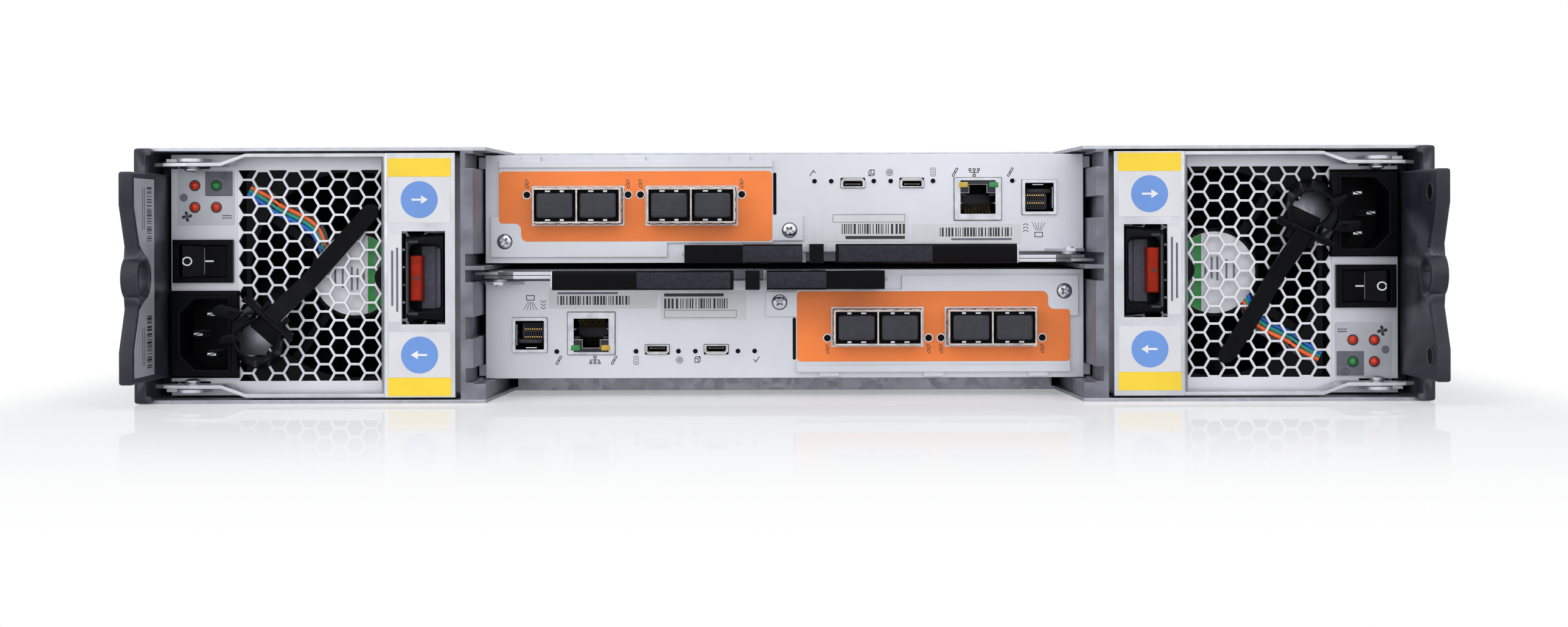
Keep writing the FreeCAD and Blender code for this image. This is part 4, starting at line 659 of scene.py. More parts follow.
def fan_leads():
    """Four coloured leads that come in at the frame's corner and bend down to the hub."""
    form = Form(WIRES[0], (FAN_X, low("left_psu_fan_leads").y + 0.6, FAN_Z))
    # x, y, z, then how far the leads lie apart across and down, and the dip of every other one
    route = ((-36.2, -0.5, 30.0, 0.8, 0.8, 0), (-30.4, -0.5, 26.8, 1, 1, 0), (-26.0, -0.15, 23.6, 1, 1, 0),
             (-21.0, -0.30, 21.2, 1, 1, 0.1), (-16.5, -0.25, 18.8, 1, 1, 0), (-13.2, -0.05, 16.0, 1.05, 1, 0),
             (-11.4, 0.1, 12.6, 1.1, 0.9, 0), (-10.6, 0.1, 9.6, 1.1, 0.8, 0))
    for k, material in enumerate(WIRES):
        off = (k - 1.5) * 1.55
        points = [(x - 0.47 * off * across, y - dip * (k % 2), z - 0.88 * off * down)
                  for x, y, z, across, down, dip in route]
        form.paint(material).tube(smooth_line(points, 5), 0.78, 12)
    settle_twice(form, "psu_leads", SUPPLIES, "psu", "psu_fan_leads")


def lamps():
    """Domed lenses: one green at the upper right, the rest red."""
    form = Form(RED_LENS, (PSU_OUT, PANEL, PSU_TOP))
    dome = [(0.0, -1.75), (0.55, -1.68), (1.0, -1.42), (1.32, -0.98), (1.5, -0.45), (1.55, 0)]
    for spot in LAMPS:
        form.paint(GREEN_LENS if spot == GREEN_LAMP else RED_LENS).lathe(*spot, dome)
    settle_twice(form, "psu_lenses", SUPPLIES, "psu", "psu_lamps")


def rocker_marks():
    """Round mark and bar on the rocker's two slopes, and a pale line along the crest between them, a painted
    highlight.
    """
    middle = centre("left_psu_rocker")
    form = Form(WHITE_INK, (middle.x, 0, middle.z))
    form.pierced(circle(-5.3, 0, 1.6, 40), [circle(-5.3, 0, 1.15, 40)], -0.09, 0.05)
    form.slab(WHITE_INK, 0.4, 3.4, -0.28, 0.28, -0.09, 0.05)
    # The pale line along the crest is a painted highlight.
    form.slab(SOFT_INK_AND_HIGHLIGHT, 0.05, 0.25, -4.6, 4.6, -0.06, 0.05)
    form.drape("left_psu_rocker")
    settle_twice(form, "psu_rocker_marks", SUPPLIES, "psu_rocker")


def inlet_detail():
    """Plated sleeves on the pins, a stepped lip round the mouth and a rib on the flange."""
    middle = centre("left_psu_inlet")
    form = Form(BRIGHT, (middle.x, low("left_psu_inlet").y, middle.z))
    for x, z in ((-2.6, 0.0), (2.1, -7.0), (2.1, 7.0)):
        pin = rectangle(x - 2.1, x + 2.1, z - 1.08, z + 1.08, 0.3)
        form.layers([(inset(pin, 0.6), 2.2), (inset(pin, 0.15), 3.0), (pin, 4.0), (pin, 16.0)])
    mouth = [(8.3, -12.3), (8.3, 12.3), (-3.3, 12.3), (-8.3, 7.3), (-8.3, -7.3), (-3.3, -12.3)]
    form.paint(BLACK).pierced(inset(mouth, -1.1), [inset(mouth, -0.2)], -0.45, 0.05)
    for z in (-14.15, 14.15):
        form.slab(BLACK, -6, 6, z - 0.3, z + 0.3, -0.25, 0, 0.2)
    settle_twice(form, "psu_inlet_detail", SUPPLIES, "psu")


def cord_clamp(side, mid, lean, bend):
    """Cord clamp: a leaning split ring with a finger tab, a buckle rod and a strap that bends."""
    form = Form(BLACK, (CLAMP_X, high("left_psu_cord_clamp").y, CLAMP_Z))
    c, s = math.cos(math.radians(lean)), math.sin(math.radians(lean))

    def place(u, v, deep):
        """A point u along the strap, v across it, and so far ahead of the foot."""
        return Vector((u * c - v * s, -deep, u * s + v * c))

    def block(corners, front, back, bevel, material=BLACK):
        outline = [(u * c - v * s, u * s + v * c) for u, v in corners]
        form.paint(material).prism(outline, -front, -back, bevel)

    grid, rim, foot = [], [], []
    for step in range(33):
        angle = math.radians(46 + 268 * step / 32)
        around = place(8.05 * math.cos(angle), 8.05 * math.sin(angle), 12.0)
        row = [around + Vector((-2.2, 11.6, -3.6)) * (layer / 3) for layer in range(4)]
        grid.append(row)
        rim.append(row[0] + Vector((0, 0.3, 0)))
        foot.append(row[3])
    form.shell(grid, 0.75).tube(rim, 0.52, 10).tube(foot, 0.6, 8)
    for step in (11, 20):
        form.tube([rim[step] - Vector((0, 0.5, 0)), rim[step] + Vector((0, 2.4, 0))], 0.85, 12)
    for step in range(3, 30, 3):
        start, a, b = grid[step][:3]
        way = Vector((start.x, 0, start.z)).normalized() * 0.42
        form.tube([a + way, (a + b) / 2 + way, b + way], 0.22, 6)
    form.tube([place(6.4, v, deep) for v, deep in ((-10.0, 11.0), (-4.0, 11.15), (5.0, 11.15), (11.8, 11.0))],
              0.85, 14)
    for v in (-9.4, -3.6, 4.4, 11.2):
        form.tube([place(6.4, v - 0.5, 11.1), place(6.4, v + 0.5, 11.1)], 1.12, 14)
    block([(5.6, -8.6), (7.6, -8.6), (7.6, 10.4), (5.6, 10.4)], 10.6, 5.5, 0.4)
    block([(2.3, 5.4), (6.6, 5.5), (6.7, 9.4), (2.0, 9.5)], 10.9, 5.0, 0.5)
    block([(2.9, 5.9), (6.0, 6.0), (6.1, 8.9), (2.7, 9.0)], 11.05, 10.8, 0.1, CHARCOAL)
    block([(-0.3, -6.4), (6.0, -7.0), (6.0, 5.0), (-0.3, 4.7)], 6.2, 5.0, 0.3)
    tab = [(2.3, 9.0), (1.6, 11.8), (-0.6, 16.6), (-2.6, 17.6), (-4.2, 17.4), (-5.0, 16.2), (-1.6, 9.2)]
    block(tab, 10.6, 8.6, 0.5)
    for k in range(3):
        u, v = -1.4 + 1.15 * k, 10.6 - 0.3 * k
        block([(u + 0.5, v + 0.2), (u - 0.6, v + 2.8), (u - 1.1, v + 2.6), (u, v)], 11.3, 10.4, 0.12)
    hook = [(-4.4, 6.6), (-8.4, 9.0), (-10.6, 9.2), (-11.3, 8.0), (-10.0, 6.9), (-7.6, 4.2), (-6.6, 3.6)]
    block(hook, 10.2, 3.6, 0.5)

    strap, start, end = [], 6.2, 59.2
    for step in range(37):
        reach = start + (end - start) * step / 36
        sink = min(1.0, max(0.0, (reach - 8.0) / 17.0))
        deep = 9.6 - 8.7 * sink * sink * (3 - 2 * sink)
        aside = 0.45 - 0.5 * bend * (reach - start) ** 2
        tip = 1.0 if reach < 55.4 else math.sqrt(max(0.02, 1 - ((reach - 55.4) / 3.9) ** 2))
        strap.append([place(reach, aside + half * 3.0 * tip, deep) for half in (-1, -0.86, -0.4, 0, 0.4, 0.86, 1)])
    form.shell(strap, 1.25)
    for v0, v1 in ((-4.45, -2.95), (3.85, 5.35)):
        block([(7.2, v0), (10.6, v0), (10.6, v1), (7.2, v1)], 9.8, 6.6, 0.3)
    settle(form, f"{side}_psu_strap", f"{side}_psu", mid, (f"{side}_psu_cord_clamp",))


def handle_labels():
    """Yellow bands, white fields with a blue disc and arrow, and the bare rating label."""
    form = Form(PAPER, (high("left_psu_handle").x, YOKE, 0))
    x0, x1, face = -22.8, -1.6, -0.12
    middle = (x0 + x1) / 2
    for z0, z1 in ((PSU_TOP - 8.2, PSU_TOP - 1.9), (PSU_LOW + 0.6, PSU_LOW + 6.9)):
        form.slab(YELLOW, x0 - 0.3, x1 + 0.2, z0, z1, face, 0, 0.3)
    arrow = [(-2.6, -0.35), (0.6, -0.35), (0.6, -1.5), (3.0, 0.0), (0.6, 1.5), (0.6, 0.35), (-2.6, 0.35)]
    for z0, z1, z, way in ((PSU_TOP - 24.0, PSU_TOP - 8.3, PSU_TOP - 16.1, 1),
                           (PSU_LOW + 7.0, PSU_LOW + 22.5, PSU_LOW + 14.7, -1)):
        form.slab(PAPER, x0, x1, z0, z1, face, 0, 0.3)
        form.paint(BLUE).lathe(middle, z, [(6.35, face - 0.05), (6.35, face)], 56)
        pointer = [(middle + way * a, z + b) for a, b in arrow[::way]]
        form.paint(WHITE_INK).prism(pointer, face - 0.09, face - 0.04)
    form.slab(PAPER, x0 - 0.2, x0 + 4.3, PSU_MID - 16.0, PSU_MID + 14.0, face, 0, 0.3)
    for dx, z0, z1 in ((0.9, -10.5, 8.5), (2.6, -12.5, 9.5)):
        form.slab(SOFT_INK_AND_HIGHLIGHT, x0 + dx, x0 + dx + 0.75, PSU_MID + z0, PSU_MID + z1, face - 0.03, face)
    settle_twice(form, "psu_handle_labels", SUPPLIES, "psu_handle")


def grip_detail():
    """Latch grip with swept ends, a deep finger cup with a pale plate of painted light on its floor, a grained thumb
    wall, and the catch's mark.
    """
    corner, size = low("left_psu_latch_grip"), high("left_psu_latch_grip") - low("left_psu_latch_grip")
    wide = size.x

    def loop(left, right, near, far, radius):
        """Rounded outline whose half height grows from near, at the left, to far."""
        span = wide - right - left
        return [(x, z / 10 * (near + (far - near) * max(0.0, (x - left) / span) ** 0.6))
                for x, z in rectangle(left, wide - right, -10, 10, radius)]

    form = Form(BLACK, (corner.x, corner.y, centre("left_psu_latch_grip").z))
    cup, side = loop(2.2, 1.0, 11.6, 11.6, 2.3), loop(0.5, 0.02, 13.9, 15.6, 0.8)
    form.layers([(side, size.y), (side, 2.6), (loop(0.6, 0.15, 13.7, 15.2, 0.8), 1.2),
                 (loop(0.75, 0.45, 13.4, 14.4, 0.9), 0.3), (loop(1.1, 0.8, 13.0, 13.6, 1.0), 0),
                 (inset(cup, -0.25), 0), (cup, 0.25), (loop(2.3, 1.6, 11.5, 11.5, 2.2), 1.6),
                 (loop(2.3, 4.2, 11.2, 11.2, 1.6), 7.55)])
    wall = []
    for r in range(15):
        z = -10.6 + 21.2 * r / 14
        wall.append([Vector((wide - 1.75 - 2.5 * k / 5, 1.75 + 5.7 * k / 5 - 0.35 * math.sin(math.pi * k / 5), z))
                     for k in range(6)])
    form.paint(THUMB_AND_PAINTED_LIGHT).shell(wall, 0.25)
    tab_edge = high("left_psu_release_tab").x - corner.x
    # A pale plate on the cup's floor: painted light, so the shaded floor reads grey instead of black.
    form.slab(THUMB_AND_PAINTED_LIGHT, tab_edge - 1.0, wide - 4.3, -10.8, 10.8, 7.35, 7.6, 0.3)
    form.slab(CHARCOAL, 1.15, 1.95, -12.4, 12.4, -0.06, 0.05, 0.3)
    for z in (-12.75, 11.95):
        form.slab(CHARCOAL, 2.0, 5.2, z, z + 0.8, -0.06, 0.05, 0.3)
    settle_twice(form, "psu_finger_cup", SUPPLIES, "psu_handle", "psu_latch_grip")
    tab = centre("left_psu_release_tab")
    mark = Form(INK_AND_SHADE, (tab.x, low("left_psu_release_tab").y, tab.z))
    mark.prism([(-0.9, 0), (0.8, -1.0), (0.8, 1.0)], -0.08, 0.05)
    settle_twice(mark, "psu_tab_mark", SUPPLIES, "psu_release_tab")


# ---- controllers ----------------------------------------------------------------------
def host_labels():
    """Orange film on the host plate, cut out round the cages, the plate's fittings, and a dark strip of painted shade
    in the gap at the plate's edge.
    """
    form = Form(ORANGE, (CTRL_RIGHT, PLATE, CTRL_LOW))
    x0, x1, z0, z1 = -101.8, -5.1, 5.8, 30.6
    outline = (arc(x0 + 1.5, z0 + 1.5, 1.5, 180, 270) + arc(x1 - 1.5, z0 + 1.5, 1.5, 270, 360)
               + arc(x1 - 1.2, z1 - 7.6, 1.2, 0, 80, 4) + arc(x1 - 5.6, z1 - 4.2, 2.2, 270, 190, 6)
               + arc(x1 - 10.0, z1 - 2.2, 2.2, 10, 90, 5) + arc(x0 + 1.5, z1 - 1.5, 1.5, 90, 180))
    holes = [rectangle(a - 0.9, b + 0.9, CAGE_LOW - 0.9, CAGE_TOP + 0.9, 0.4) for a, b in CAGES]
    form.pierced(outline, holes, -0.12, 0)
    for x in (-91.0, -55.2, -50.8, -15.0):
        eyelet(form, x, 14.1, -0.12, 1.2)
        for way in (-1, 1):
            mark = link(x, 10.2 + way * 0.75, 28)
            form.paint(INK_AND_SHADE).pierced(mark, [inset(mark, 0.2)], -0.145 - 0.01 * way, -0.11)
    # Painted shade: a dark strip left of the label, in the gap at the host plate's edge.
    form.slab(PIT_AND_PAINTED_SHADE, x0 - 1.5, x0 - 0.35, z0 + 0.6, z0 + 15.5, HOST_PROUD - 0.05, HOST_PROUD + 0.3, 0.4)
    screw(form, -107.9, 26.8)
    screw(form, -7.1, 30.6)
    settle_twice(form, "host_labels", CONTROLLERS, "controller")


def cage_detail():
    """Sprung fingers round each cage, dividers, and the dust plugs' faces."""
    form = Form(PORT, (CTRL_RIGHT, PLATE, CTRL_LOW))
    front = low("lower_port_cages").y - PLATE
    # how far a finger stands ahead of the plate, and out from the cage
    finger = [(0.2, 0.10), (1.6, 0.32), (3.4, 0.15), (4.6, 0.02), (4.6, 0.20), (3.3, 0.36), (1.6, 0.54), (0.2, 0.32)]
    for a, b in CAGES:
        form.paint(PORT).plane("x")
        for k in range(7):
            x = a + 1.0 + k * (b - a - 4.6) / 6
            for z, way in ((CAGE_LOW, -1), (CAGE_TOP, 1)):
                form.prism([(-ahead, z + way * out) for ahead, out in finger], x, x + 2.6)
        form.plane("z")
        for k in range(3):
            z = CAGE_LOW + 1.2 + k * 3.7
            for x, way in ((a, -1), (b, 1)):
                form.prism([(x + way * out, -ahead) for ahead, out in finger], z, z + 2.4)
        form.plane("y")
        cell = (b - a - 1.8) / 2
        for x0 in (a + 0.6, a + 1.2 + cell):
            hollow = rectangle(x0 + 0.05, x0 + cell - 0.05, CAGE_LOW + 0.65, CAGE_TOP - 0.65, 0.2)
            form.paint(PIT_AND_PAINTED_SHADE).well(hollow, front + 0.25, 1.3, 0.25)
            x, z = x0 + cell / 2, (CAGE_LOW + CAGE_TOP) / 2
            block = rectangle(x - 6.35, x + 6.35, z - 4.35, z + 4.35, 1.1)
            form.paint(PLUG).layers([(inset(block, 0.9), front - 1.25), (inset(block, 0.45), front - 1.15),
                                     (inset(block, 0.12), front - 0.85), (block, front - 0.4), (block, front + 1.0)])
            for side in (z - 5.05, z + 5.05):
                form.slab(BRIGHT, x - 3.2, x - 1.8, side - 0.35, side + 0.35, front + 0.1, front + 1.0)
                form.slab(BRIGHT, x + 1.6, x + 3.4, side - 0.3, side + 0.3, front + 0.1, front + 1.0)
    settle_twice(form, "cage_detail", CONTROLLERS, "controller")


def network_jack(form):
    """Lining, frame, contacts and two lamps, from the middle of the jack's lower edge."""
    mouth = [(-3.1, 2.4), (3.1, 2.4), (3.1, 5.4), (6.35, 5.4), (6.35, 13.0), (-6.35, 13.0), (-6.35, 5.4), (-3.1, 5.4)]
    edge = rectangle(-8.25, 8.25, 0.1, 14.9, 0.3)
    form.well(mouth, -0.05, 13.2, 0.2)
    form.paint(CHARCOAL).pierced(inset(edge, 0.7), [inset(mouth, -0.15)], -0.10, 0.05)
    form.paint(BRIGHT).pierced(edge, [rectangle(-6.2, 6.2, 0.9, 12.8, 0.2)], -0.35, -0.12)
    for k in range(8):
        x = -4.2 + 1.2 * k
        form.paint(GOLD).tube([(x, 10.5, 9.2), (x, 6.0, 9.9), (x, 1.6, 11.6), (x, 0.9, 12.4)], 0.30, 6)
        form.slab(GREY, x + 0.45, x + 0.75, 11.2, 12.85, 0.5, 6.0)
    for way in (-1, 1):
        x = way * 5.2
        form.slab(INK_AND_SHADE, x - 1.05, x + 1.05, 5.5, 6.4, 1.2, 12.0, 0.2, 0.15)
        form.paint(BRIGHT).tube([(way * 6.0, 0.6, 9.0), (x, 3.0, 9.0), (way * 6.0, 6.5, 9.0)], 0.35, 8)
    form.slab(CHARCOAL, -5.6, 5.6, 5.6, 11.4, 12.2, 12.9)
    for x, material in ((-7.15, GREEN_LENS), (3.55, AMBER_LENS)):
        form.slab(material, x, x + 3.2, 1.5, 3.4, -0.5, 0.02, 0.3, 0.15)


def cable_port(form):
    """Lining, rim and a block with two rows of contacts, from the port's lower corner."""
    form.paint(PIT_AND_PAINTED_SHADE).well(rectangle(0.8, 11.2, 0.8, 11.3, 0.3), -0.05, 13.4, 0.25)
    form.paint(BRIGHT).pierced(rectangle(-0.1, 12.1, -0.1, 12.2, 0.5), [rectangle(0.95, 11.05, 0.95, 11.15, 0.3)],
                               -0.4, 0.05)
    form.slab(INK_AND_SHADE, 1.8, 10.2, 3.05, 4.35, 2.85, 13.0, 0.1, 0.1)
    form.slab(CHARCOAL, 3.0, 10.6, 4.4, 10.4, 3.6, 13.0, 0.3, 0.2)
    # The dark slots behind the contacts are painted shade for the slots' depth.
    for z in (4.75, 7.55):
        for k in range(8):
            x = 3.9 + 0.80 * k
            form.slab(PIT_AND_PAINTED_SHADE, x, x + 0.46, z, z + 2.35, 3.55, 3.8)
            form.slab(GOLD, x + 0.08, x + 0.38, z + 0.3, z + 0.75, 3.45, 3.7)
    form.slab(BRIGHT, 4.4, 8.4, 1.3, 1.75, 1.0, 2.0, 0.2, 0.1)
    for x in (1.1, 10.9):
        form.slab(BRIGHT, x - 0.15, x + 0.15, 2.4, 9.8, 2.0, 12.0)


def serial_port(form):
    """Lining, shell and tongue, from the port's lower corner."""
    socket = [(1.6, 0.95), (6.8, 0.95), (7.5, 1.6), (7.5, 2.8), (0.9, 2.8), (0.9, 1.6)]
    shell = [(0.9, -0.02), (7.5, -0.02), (8.42, 0.9), (8.42, 3.32), (-0.02, 3.32), (-0.02, 0.9)]
    form.paint(PIT_AND_PAINTED_SHADE).well(socket, -0.03, 4.8, 0.12)
    form.paint(BRIGHT).pierced(shell, [inset(shell, 0.42)], -0.3, 0.05)
    form.slab(INK_AND_SHADE, 1.9, 6.5, 1.85, 2.35, 0.5, 4.6)


def service_detail():
    """The service ports, each from a corner of its own, and the lamp holes beside them."""
    form = Form(PIT_AND_PAINTED_SHADE)
    for draw, x, z in ((network_jack, 37.55, 8.4), (cable_port, 9.8, 9.3), (serial_port, 56.7, 8.5),
                       (serial_port, 77.6, 8.5)):
        draw(form.at(CTRL_LEFT + x, FACE - PORT_PROUD, CTRL_LOW + z))
    form.at(CTRL_LEFT, FACE, CTRL_LOW)
    for x in (25.3, 53.4, 68.4, 74.4, 89.5, 95.4):
        eyelet(form, x, 9.5, 0, 0.85)
    settle_twice(form, "service_detail", CONTROLLERS, "controller")


def service_labels():
    """Two bare labels with stripes and bars, and the marks by the ports."""
    form = Form(PAPER, (CTRL_LEFT, FACE, CTRL_LOW))
    form.slab(PAPER, 22.4, 60.8, 24.7, 31.3, -0.12, 0, 0.9)
    stripes(form, 25.6, 51.5, 26.0, 29.2, -0.12, 26, 3)
    form.slab(SOFT_INK_AND_HIGHLIGHT, 25.6, 47.0, 29.8, 30.5, -0.14, -0.1)
    form.slab(PAPER, 62.2, 92.4, 20.5, 30.8, -0.12, 0, 0.9)
    stripes(form, 63.4, 86.6, 24.6, 28.2, -0.12, 24, 5)
    box = rectangle(63.4, 89.0, 21.3, 24.1, 0.2)
    form.paint(INK_AND_SHADE).pierced(box, [inset(box, 0.14)], -0.145, -0.1)
    form.slab(INK_AND_SHADE, 63.4, 84.5, 28.9, 30.0, -0.14, -0.1)
    pictograms(form)
    settle_twice(form, "service_labels", CONTROLLERS, "controller")


def pictograms(form):
    """Plain marks by the lamps and ports: links, a tree, a disc, a box, a tick, and a fan of lines."""
    def mark(x, z=6.4):
        form.at(CTRL_LEFT + x, FACE, CTRL_LOW + z)

    def hollow(outline, line=0.27):
        form.paint(INK_AND_SHADE).pierced(outline, [inset(outline, line)], -0.06, 0)

    def lines(*runs, wide=0.28):
        for x0, z0, x1, z1 in runs:
            run = Vector((x1 - x0, z1 - z0)).normalized() * (wide / 2)
            form.paint(INK_AND_SHADE).prism([(x0 + run.y, z0 - run.x), (x1 + run.y, z1 - run.x), (x1 - run.y, z1 + run.x),
                                   (x0 - run.y, z0 + run.x)], -0.06, 0)

    for x in (26.0, 45.6):
        mark(x)
        hollow(link(-0.42, -0.75, -30))
        hollow(link(0.42, 0.75, -30))
    mark(38.8)
    hollow(rectangle(-0.55, 0.55, 0.7, 1.6))
    lines((0, 0.7, 0, 0.1), (-1.5, 0.1, 1.5, 0.1))
    for x in (-1.5, 0.0, 1.5):
        lines((x, 0.1, x, -0.5))
        hollow(rectangle(x - 0.5, x + 0.5, -1.4, -0.5))
    mark(53.4)
    hollow(rectangle(-0.9, 0.9, -1.6, 1.4, 0.4), 0.14)
    lines(*[(-0.5, 0.6 * step - 1.0, 0.5, 0.6 * step - 1.0) for step in range(4)], wide=0.16)
    mark(68.8)
    for radius in (1.25, 0.75, 0.35):
        hollow(circle(0, 0, radius, 24), 0.18)
    mark(75.0)
    hollow(rectangle(-0.9, 0.5, -1.0, 0.6))
    lines((-0.9, 0.6, -0.3, 1.2), (0.5, 0.6, 1.1, 1.2), (0.5, -1.0, 1.1, -0.4), (-0.3, 1.2, 1.1, 1.2),
          (1.1, 1.2, 1.1, -0.4))
    mark(96.0)
    lines((-0.9, 0.2, -0.2, -0.8), (-0.2, -0.8, 1.1, 1.2), wide=0.3)
    mark(16.0, 27.6)
    hollow(rectangle(-1.5, 1.5, 0, 1.9))
    lines(*[(0.434 * step, -0.5, 1.178 * step, -3.4) for step in range(-2, 3)], wide=0.16)
    for step in range(3):
        drum = arc(4.6, 0.4 - 1.15 * step, 0.95, 200, 340, 8)
        lines(*[(*first, *second) for first, second in zip(drum, drum[1:])], wide=0.24)


def lever_grips():
    """Pebbled moulding on the ends of both levers, with a facet along the short one."""
    short, long = low("lower_short_lever"), low("lower_long_lever")
    z0, z1, end = short.z, high("lower_short_lever").z, high("lower_long_lever").x
    for kind, front, x0, x1, rise, fall, depths in (
            ("short_lever", short.y, short.x + 0.1, short.x + 20.6, 0.8, 0.6, (1.0, -0.05, -0.55, 0.05, 1.2, 2.2)),
            ("long_lever", long.y, end - 33.4, end - 1.0, 0.7, 0.7, (0.9, 0.0, -0.25, 0.0, 1.0, 3.0))):
        form = Form(PEBBLE, (0, front, 0)).plane("x")
        heights = (z0 + 0.1, z0 + rise, (z0 + z1) / 2 + 0.3, z1 - fall, z1 + 0.02, z1 + 0.02)
        form.prism(list(zip(depths, heights)) + [(depths[-1], z0 + 0.1)], x0, x1, 0.3)
        settle_twice(form, kind + "_grip", CONTROLLERS, kind)


# ---- chassis --------------------------------------------------------------------------
def bracket_labels():
    """Generic label inside the left bracket; two rimmed dark discs inside the right one, painted shade for holes."""
    plate = low("rear_brackets").y
    edge = REAR - plate
    form = Form(SILVER_LABEL, (-BRACKET_INSIDE, plate, 0)).plane("x")
    boss_y, boss_z = 9.6, (TOP.z - 0.6) / 2
    outline = [(1.8, 10.5), (edge - 3.8, 10.5), (edge - 3.8, TOP.z - 11.0), (1.8, TOP.z - 11.0), (1.8, TOP.z - 20.5),
               (7.2, TOP.z - 33.2), (boss_y + 2.2, boss_z + 8.0)]
    outline += arc(boss_y, boss_z, 8.2, 75, -75, 12) + [(boss_y + 2.2, boss_z - 8.0), (7.2, 33.0), (1.8, 20.0)]
    form.prism(outline, 0.14, 0)
    for k, (z, z1) in enumerate(((13.0, 31.0), (TOP.z - 32.0, TOP.z - 14.0))):
        rng = random.Random(7 + k)
        while z < z1:
            wide = rng.choice((0.25, 0.4, 0.7))
            form.slab(INK_AND_SHADE, edge - 11.5, edge - 6.5, z, z + wide, 0.17, 0.12)
            z += wide + rng.choice((0.3, 0.5, 0.8))
    for y in (edge - 14.5, edge - 16.5):
        for z0, z1 in ((14.0, 27.0), (TOP.z - 28.0, TOP.z - 14.0)):
            form.slab(SOFT_INK_AND_HIGHLIGHT, y, y + 0.8, z0, z1, 0.17, 0.12)
    settle(form, "left_bracket_label", "chassis")
    bare = Form(CHARCOAL, (BRACKET_INSIDE, plate, 0)).plane("x")
    # Each hole is a rimmed dark disc on the plate: painted shade, not a cut.
    for z in (PSU_MID - 27.4, PSU_MID + 27.4):
        bare.paint(CHARCOAL).pierced(circle(6.3, z, 3.4), [circle(6.3, z, 2.8)], -0.35, 0.05)
        bare.paint(PIT_AND_PAINTED_SHADE).lathe(6.3, z, [(2.85, -0.06), (2.85, 0.05)])
    settle(bare, "right_bracket_holes", "chassis")


def rounded_brackets():
    """The rear brackets with every long outer edge rounded, as moulded plastic has."""
    mesh = bmesh.new()
    mesh.from_mesh(frame["nodes"]["rear_brackets"].data)
    bmesh.ops.remove_doubles(mesh, verts=mesh.verts, dist=0.001 * MM)
    bmesh.ops.dissolve_limit(mesh, angle_limit=math.radians(1), verts=mesh.verts, edges=mesh.edges)
    edges = [edge for edge in mesh.edges if edge.is_convex and edge.calc_face_angle(0) > math.radians(35)
             and edge.calc_length() > 3.0 * MM]
    bmesh.ops.bevel(mesh, geom=edges, offset=BRACKET_ROUND * MM, offset_type="OFFSET", segments=3, profile=0.5,
                    affect="EDGES", clamp_overlap=True)
    bmesh.ops.remove_doubles(mesh, verts=mesh.verts, dist=0.02 * MM)
    bmesh.ops.dissolve_degenerate(mesh, edges=mesh.edges, dist=0.01 * MM)
    bmesh.ops.triangulate(mesh, faces=mesh.faces[:])
    stand("rounded_brackets", mesh, "chassis", [CHARCOAL], ("rear_brackets",))


def chassis_fittings():
    """Flat rivet heads along both side walls."""
    sides = Form(GALVANISED).plane("x")
    for way in (-1, 1):
        for y in range(int(REAR) + 45, int(FRONT) - 20, 62):
            for z in (9.0, TOP.z - 9.0):
                sides.layers([(circle(y, z, radius, 20), way * (TOP.x + out))
                              for radius, out in ((1.6, 0.45), (2.4, 0.3), (2.6, -0.2))])
    settle(sides, "side_rivets", "chassis")


def drive_side():
    """Ribs and lamps on the carriers, and bare plates on the ear grips."""
    for column in range(1, 5):
        carrier, tall = high(f"drive_carrier_{column}"), high(f"drive_carrier_{column}").z
        bottom = low(f"drive_carrier_{column}").z
        form = Form(GREY, (carrier.x, carrier.y, bottom))
        for k in range(6):
            z = 3.6 + k * (tall - bottom - 7.2) / 5
            form.slab(CHARCOAL, -9.6, -5.4, z - 0.5, z + 0.5, -0.02, -1.0, 0.3)
        for z, material in ((6.0, GREEN_LENS), (10.5, AMBER_LENS)):
            form.paint(INK_AND_SHADE).pierced(circle(-3.0, z, 1.3, 24), [circle(-3.0, z, 0.95, 24)], -0.02, -0.6)
            form.paint(material).lathe(-3.0, z, [(0.3, -0.03), (0.8, -0.2), (0.95, -0.7)])
        settle(form, f"carrier_{column}_lamps", f"carrier_{column}")
    ears = high("ear_grips")
    grips = Form(SILVER_LABEL, (0, ears.y, PSU_MID))
    for x0, x1 in ((5.5 - ears.x, -TOP.x - 4.0), (TOP.x + 4.0, ears.x - 5.5)):
        grips.slab(SILVER_LABEL, min(x0, x1), max(x0, x1), -24, 24, -0.02, -0.4, 1.0)
    settle(grips, "ear_plates", "chassis")


def paint_nodes():
    """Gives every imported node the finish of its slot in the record."""
    slot_of = {part["node"]: part["material_slot"] for part in frame["record"]["subparts"]}
    for name, thing in frame["nodes"].items():
        thing.data.materials.clear()
        thing.data.materials.append(LEVER if name.endswith("_long_lever") else SLOT_FINISH[slot_of[name]])


# ---- stage ----------------------------------------------------------------------------
def studio():
    """A plain pale world to light by, and plain white where it is seen, mirrored or looked through."""
    scene = bpy.context.scene
    scene.view_settings.view_transform = "Standard"
    scene.world = bpy.data.worlds.new("studio")
    tree = Tree(scene.world)
    plain = tree.set(tree.nodes["Background"], Color=(0.90, 0.93, 1.0, 1), Strength=WORLD_LIGHT)
    white = tree.add("Background", Color=(1, 1, 1, 1), Strength=1.0)
    path = tree.add("LightPath").outputs
    seen = tree.math("MAXIMUM", path["Is Camera Ray"], path["Is Glossy Ray"])
    seen = tree.math("MAXIMUM", seen, path["Is Transmission Ray"])
    blend = tree.join("MixShader", seen, plain.outputs[0], white.outputs[0])
    tree.feed(tree.nodes["World Output"].inputs["Surface"], blend)


def lamp(name, place, size, power):
    light = bpy.data.lights.new(name, "AREA")
    light.shape = "RECTANGLE"
    light.size, light.size_y = size
    light.energy = power
    thing = show(name, light)
    thing.location = place
    thing.rotation_euler = (Vector(LAMP_AIM) - Vector(place)).to_track_quat("-Z", "Y").to_euler()


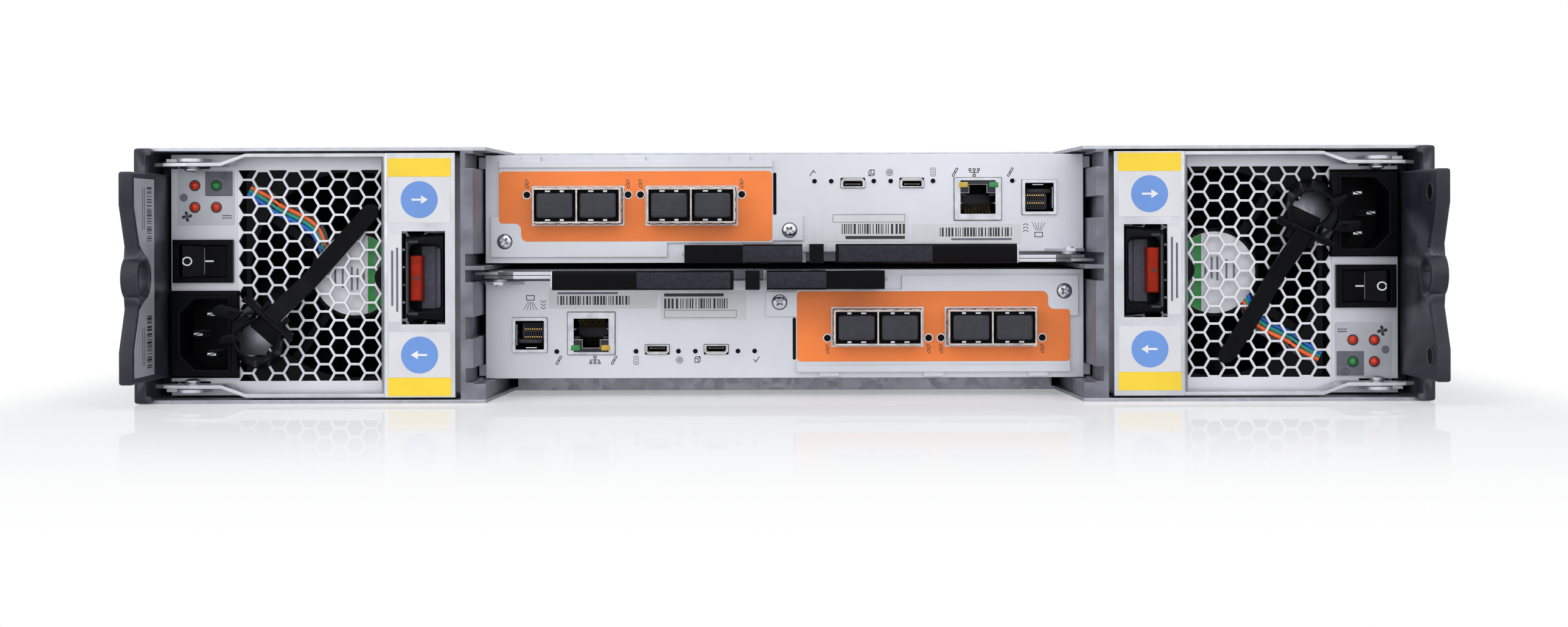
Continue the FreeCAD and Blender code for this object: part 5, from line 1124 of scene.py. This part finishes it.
def floor():
    """Glossy white board: pure white away from the shelf, with its shadow and a faint mirror."""
    tree = Tree(bpy.data.materials.new("studio_floor"))
    place = tree.add("TexCoord").outputs["Object"]
    spot = tree.add("SeparateXYZ", Vector=place).outputs
    dust = tree.noise(place, 40.0, 5.0)
    board = tree.surface(Base_Color=tree.mix(dust, rgba((0.84, 0.84, 0.845)), rgba((0.855, 0.855, 0.855))),
                         Roughness=tree.math("MULTIPLY_ADD", dust, 0.05, 0.6), Specular_IOR_Level=0.0)
    path = tree.add("LightPath").outputs
    seen = tree.math("MAXIMUM", path["Is Camera Ray"], path["Is Glossy Ray"])
    white = tree.add("Emission", Color=(1, 1, 1, 1), Strength=1.0)
    fill = tree.add("Emission", Color=(1, 1, 1, 1), Strength=tree.math("MULTIPLY", seen, FLOOR_FILL))
    lit = tree.join("AddShader", board.outputs[0], fill.outputs[0])
    shine = tree.add("BsdfGlossy", Color=(1, 1, 1, 1), Roughness=0.03)
    near = tree.ramp(spot["Y"], cad_low.y - MIRROR_FADE, cad_low.y + 0.02)
    mirror = tree.join("MixShader", tree.math("MULTIPLY", near, FLOOR_MIRROR), lit, shine.outputs[0])
    beside = tree.math("SUBTRACT", tree.math("ABSOLUTE", spot["X"]), cad_high.x - 0.01)
    ahead = tree.math("SUBTRACT", tree.math("ABSOLUTE", spot["Y"]), cad_high.y)
    out = tree.add("CombineXYZ", X=tree.math("MAXIMUM", tree.math("MULTIPLY", beside, 5.0), 0.0),
                   Y=tree.math("MAXIMUM", ahead, 0.0))
    away = tree.join("VectorMath", out.outputs[0], output="Value", operation="LENGTH")
    far = tree.math("MULTIPLY", tree.ramp(away, 0.02, 0.30), seen)
    tree.feed(tree.nodes["Material Output"].inputs["Surface"],
              tree.join("MixShader", far, mirror, white.outputs[0]))
    mesh = bpy.data.meshes.new("floor")
    corners = rectangle(-FLOOR_HALF, FLOOR_HALF, -FLOOR_HALF, FLOOR_HALF)
    mesh.from_pydata([(x, y, 0) for x, y in corners], [], [(0, 1, 2, 3)])
    mesh.materials.append(tree.owner)
    show("floor", mesh)


def camera():
    view = bpy.data.cameras.new("camera")
    view.lens = 45.5
    view.sensor_width = 36.0
    view.shift_x = -0.0003
    view.shift_y = -0.0524
    view.clip_start = 0.01
    thing = show("camera", view)
    thing.location = (0.0, low("rear_brackets").y * MM - CAMERA_AWAY, CAMERA_HEIGHT)
    thing.rotation_euler = (math.radians(90), math.radians(CAMERA_ROLL), 0)
    bpy.context.scene.camera = thing


paint_nodes()
supply_panel()
clamp_mount()
hub_label()
fan_rotor()
fan_leads()
lamps()
rocker_marks()
inlet_detail()
cord_clamp("left", None, 48.3, 0.0)
cord_clamp("right", PSU_MID, 64.7, 0.0032)
handle_labels()
grip_detail()
host_labels()
cage_detail()
service_detail()
service_labels()
lever_grips()
bracket_labels()
rounded_brackets()
chassis_fittings()
drive_side()
studio()
floor()
camera()
lamp("top_softbox", (0.0, -0.9, 1.3), (2.8, 1.6), 10)
lamp("front_softbox", (-0.2, -2.0, 0.9), (3.8, 1.7), 18)
lamp("left_strip", (-1.3, -1.2, 0.5), (0.4, 1.2), 4.5)
lamp("right_strip", (1.3, -1.2, 0.5), (0.4, 1.2), 3)
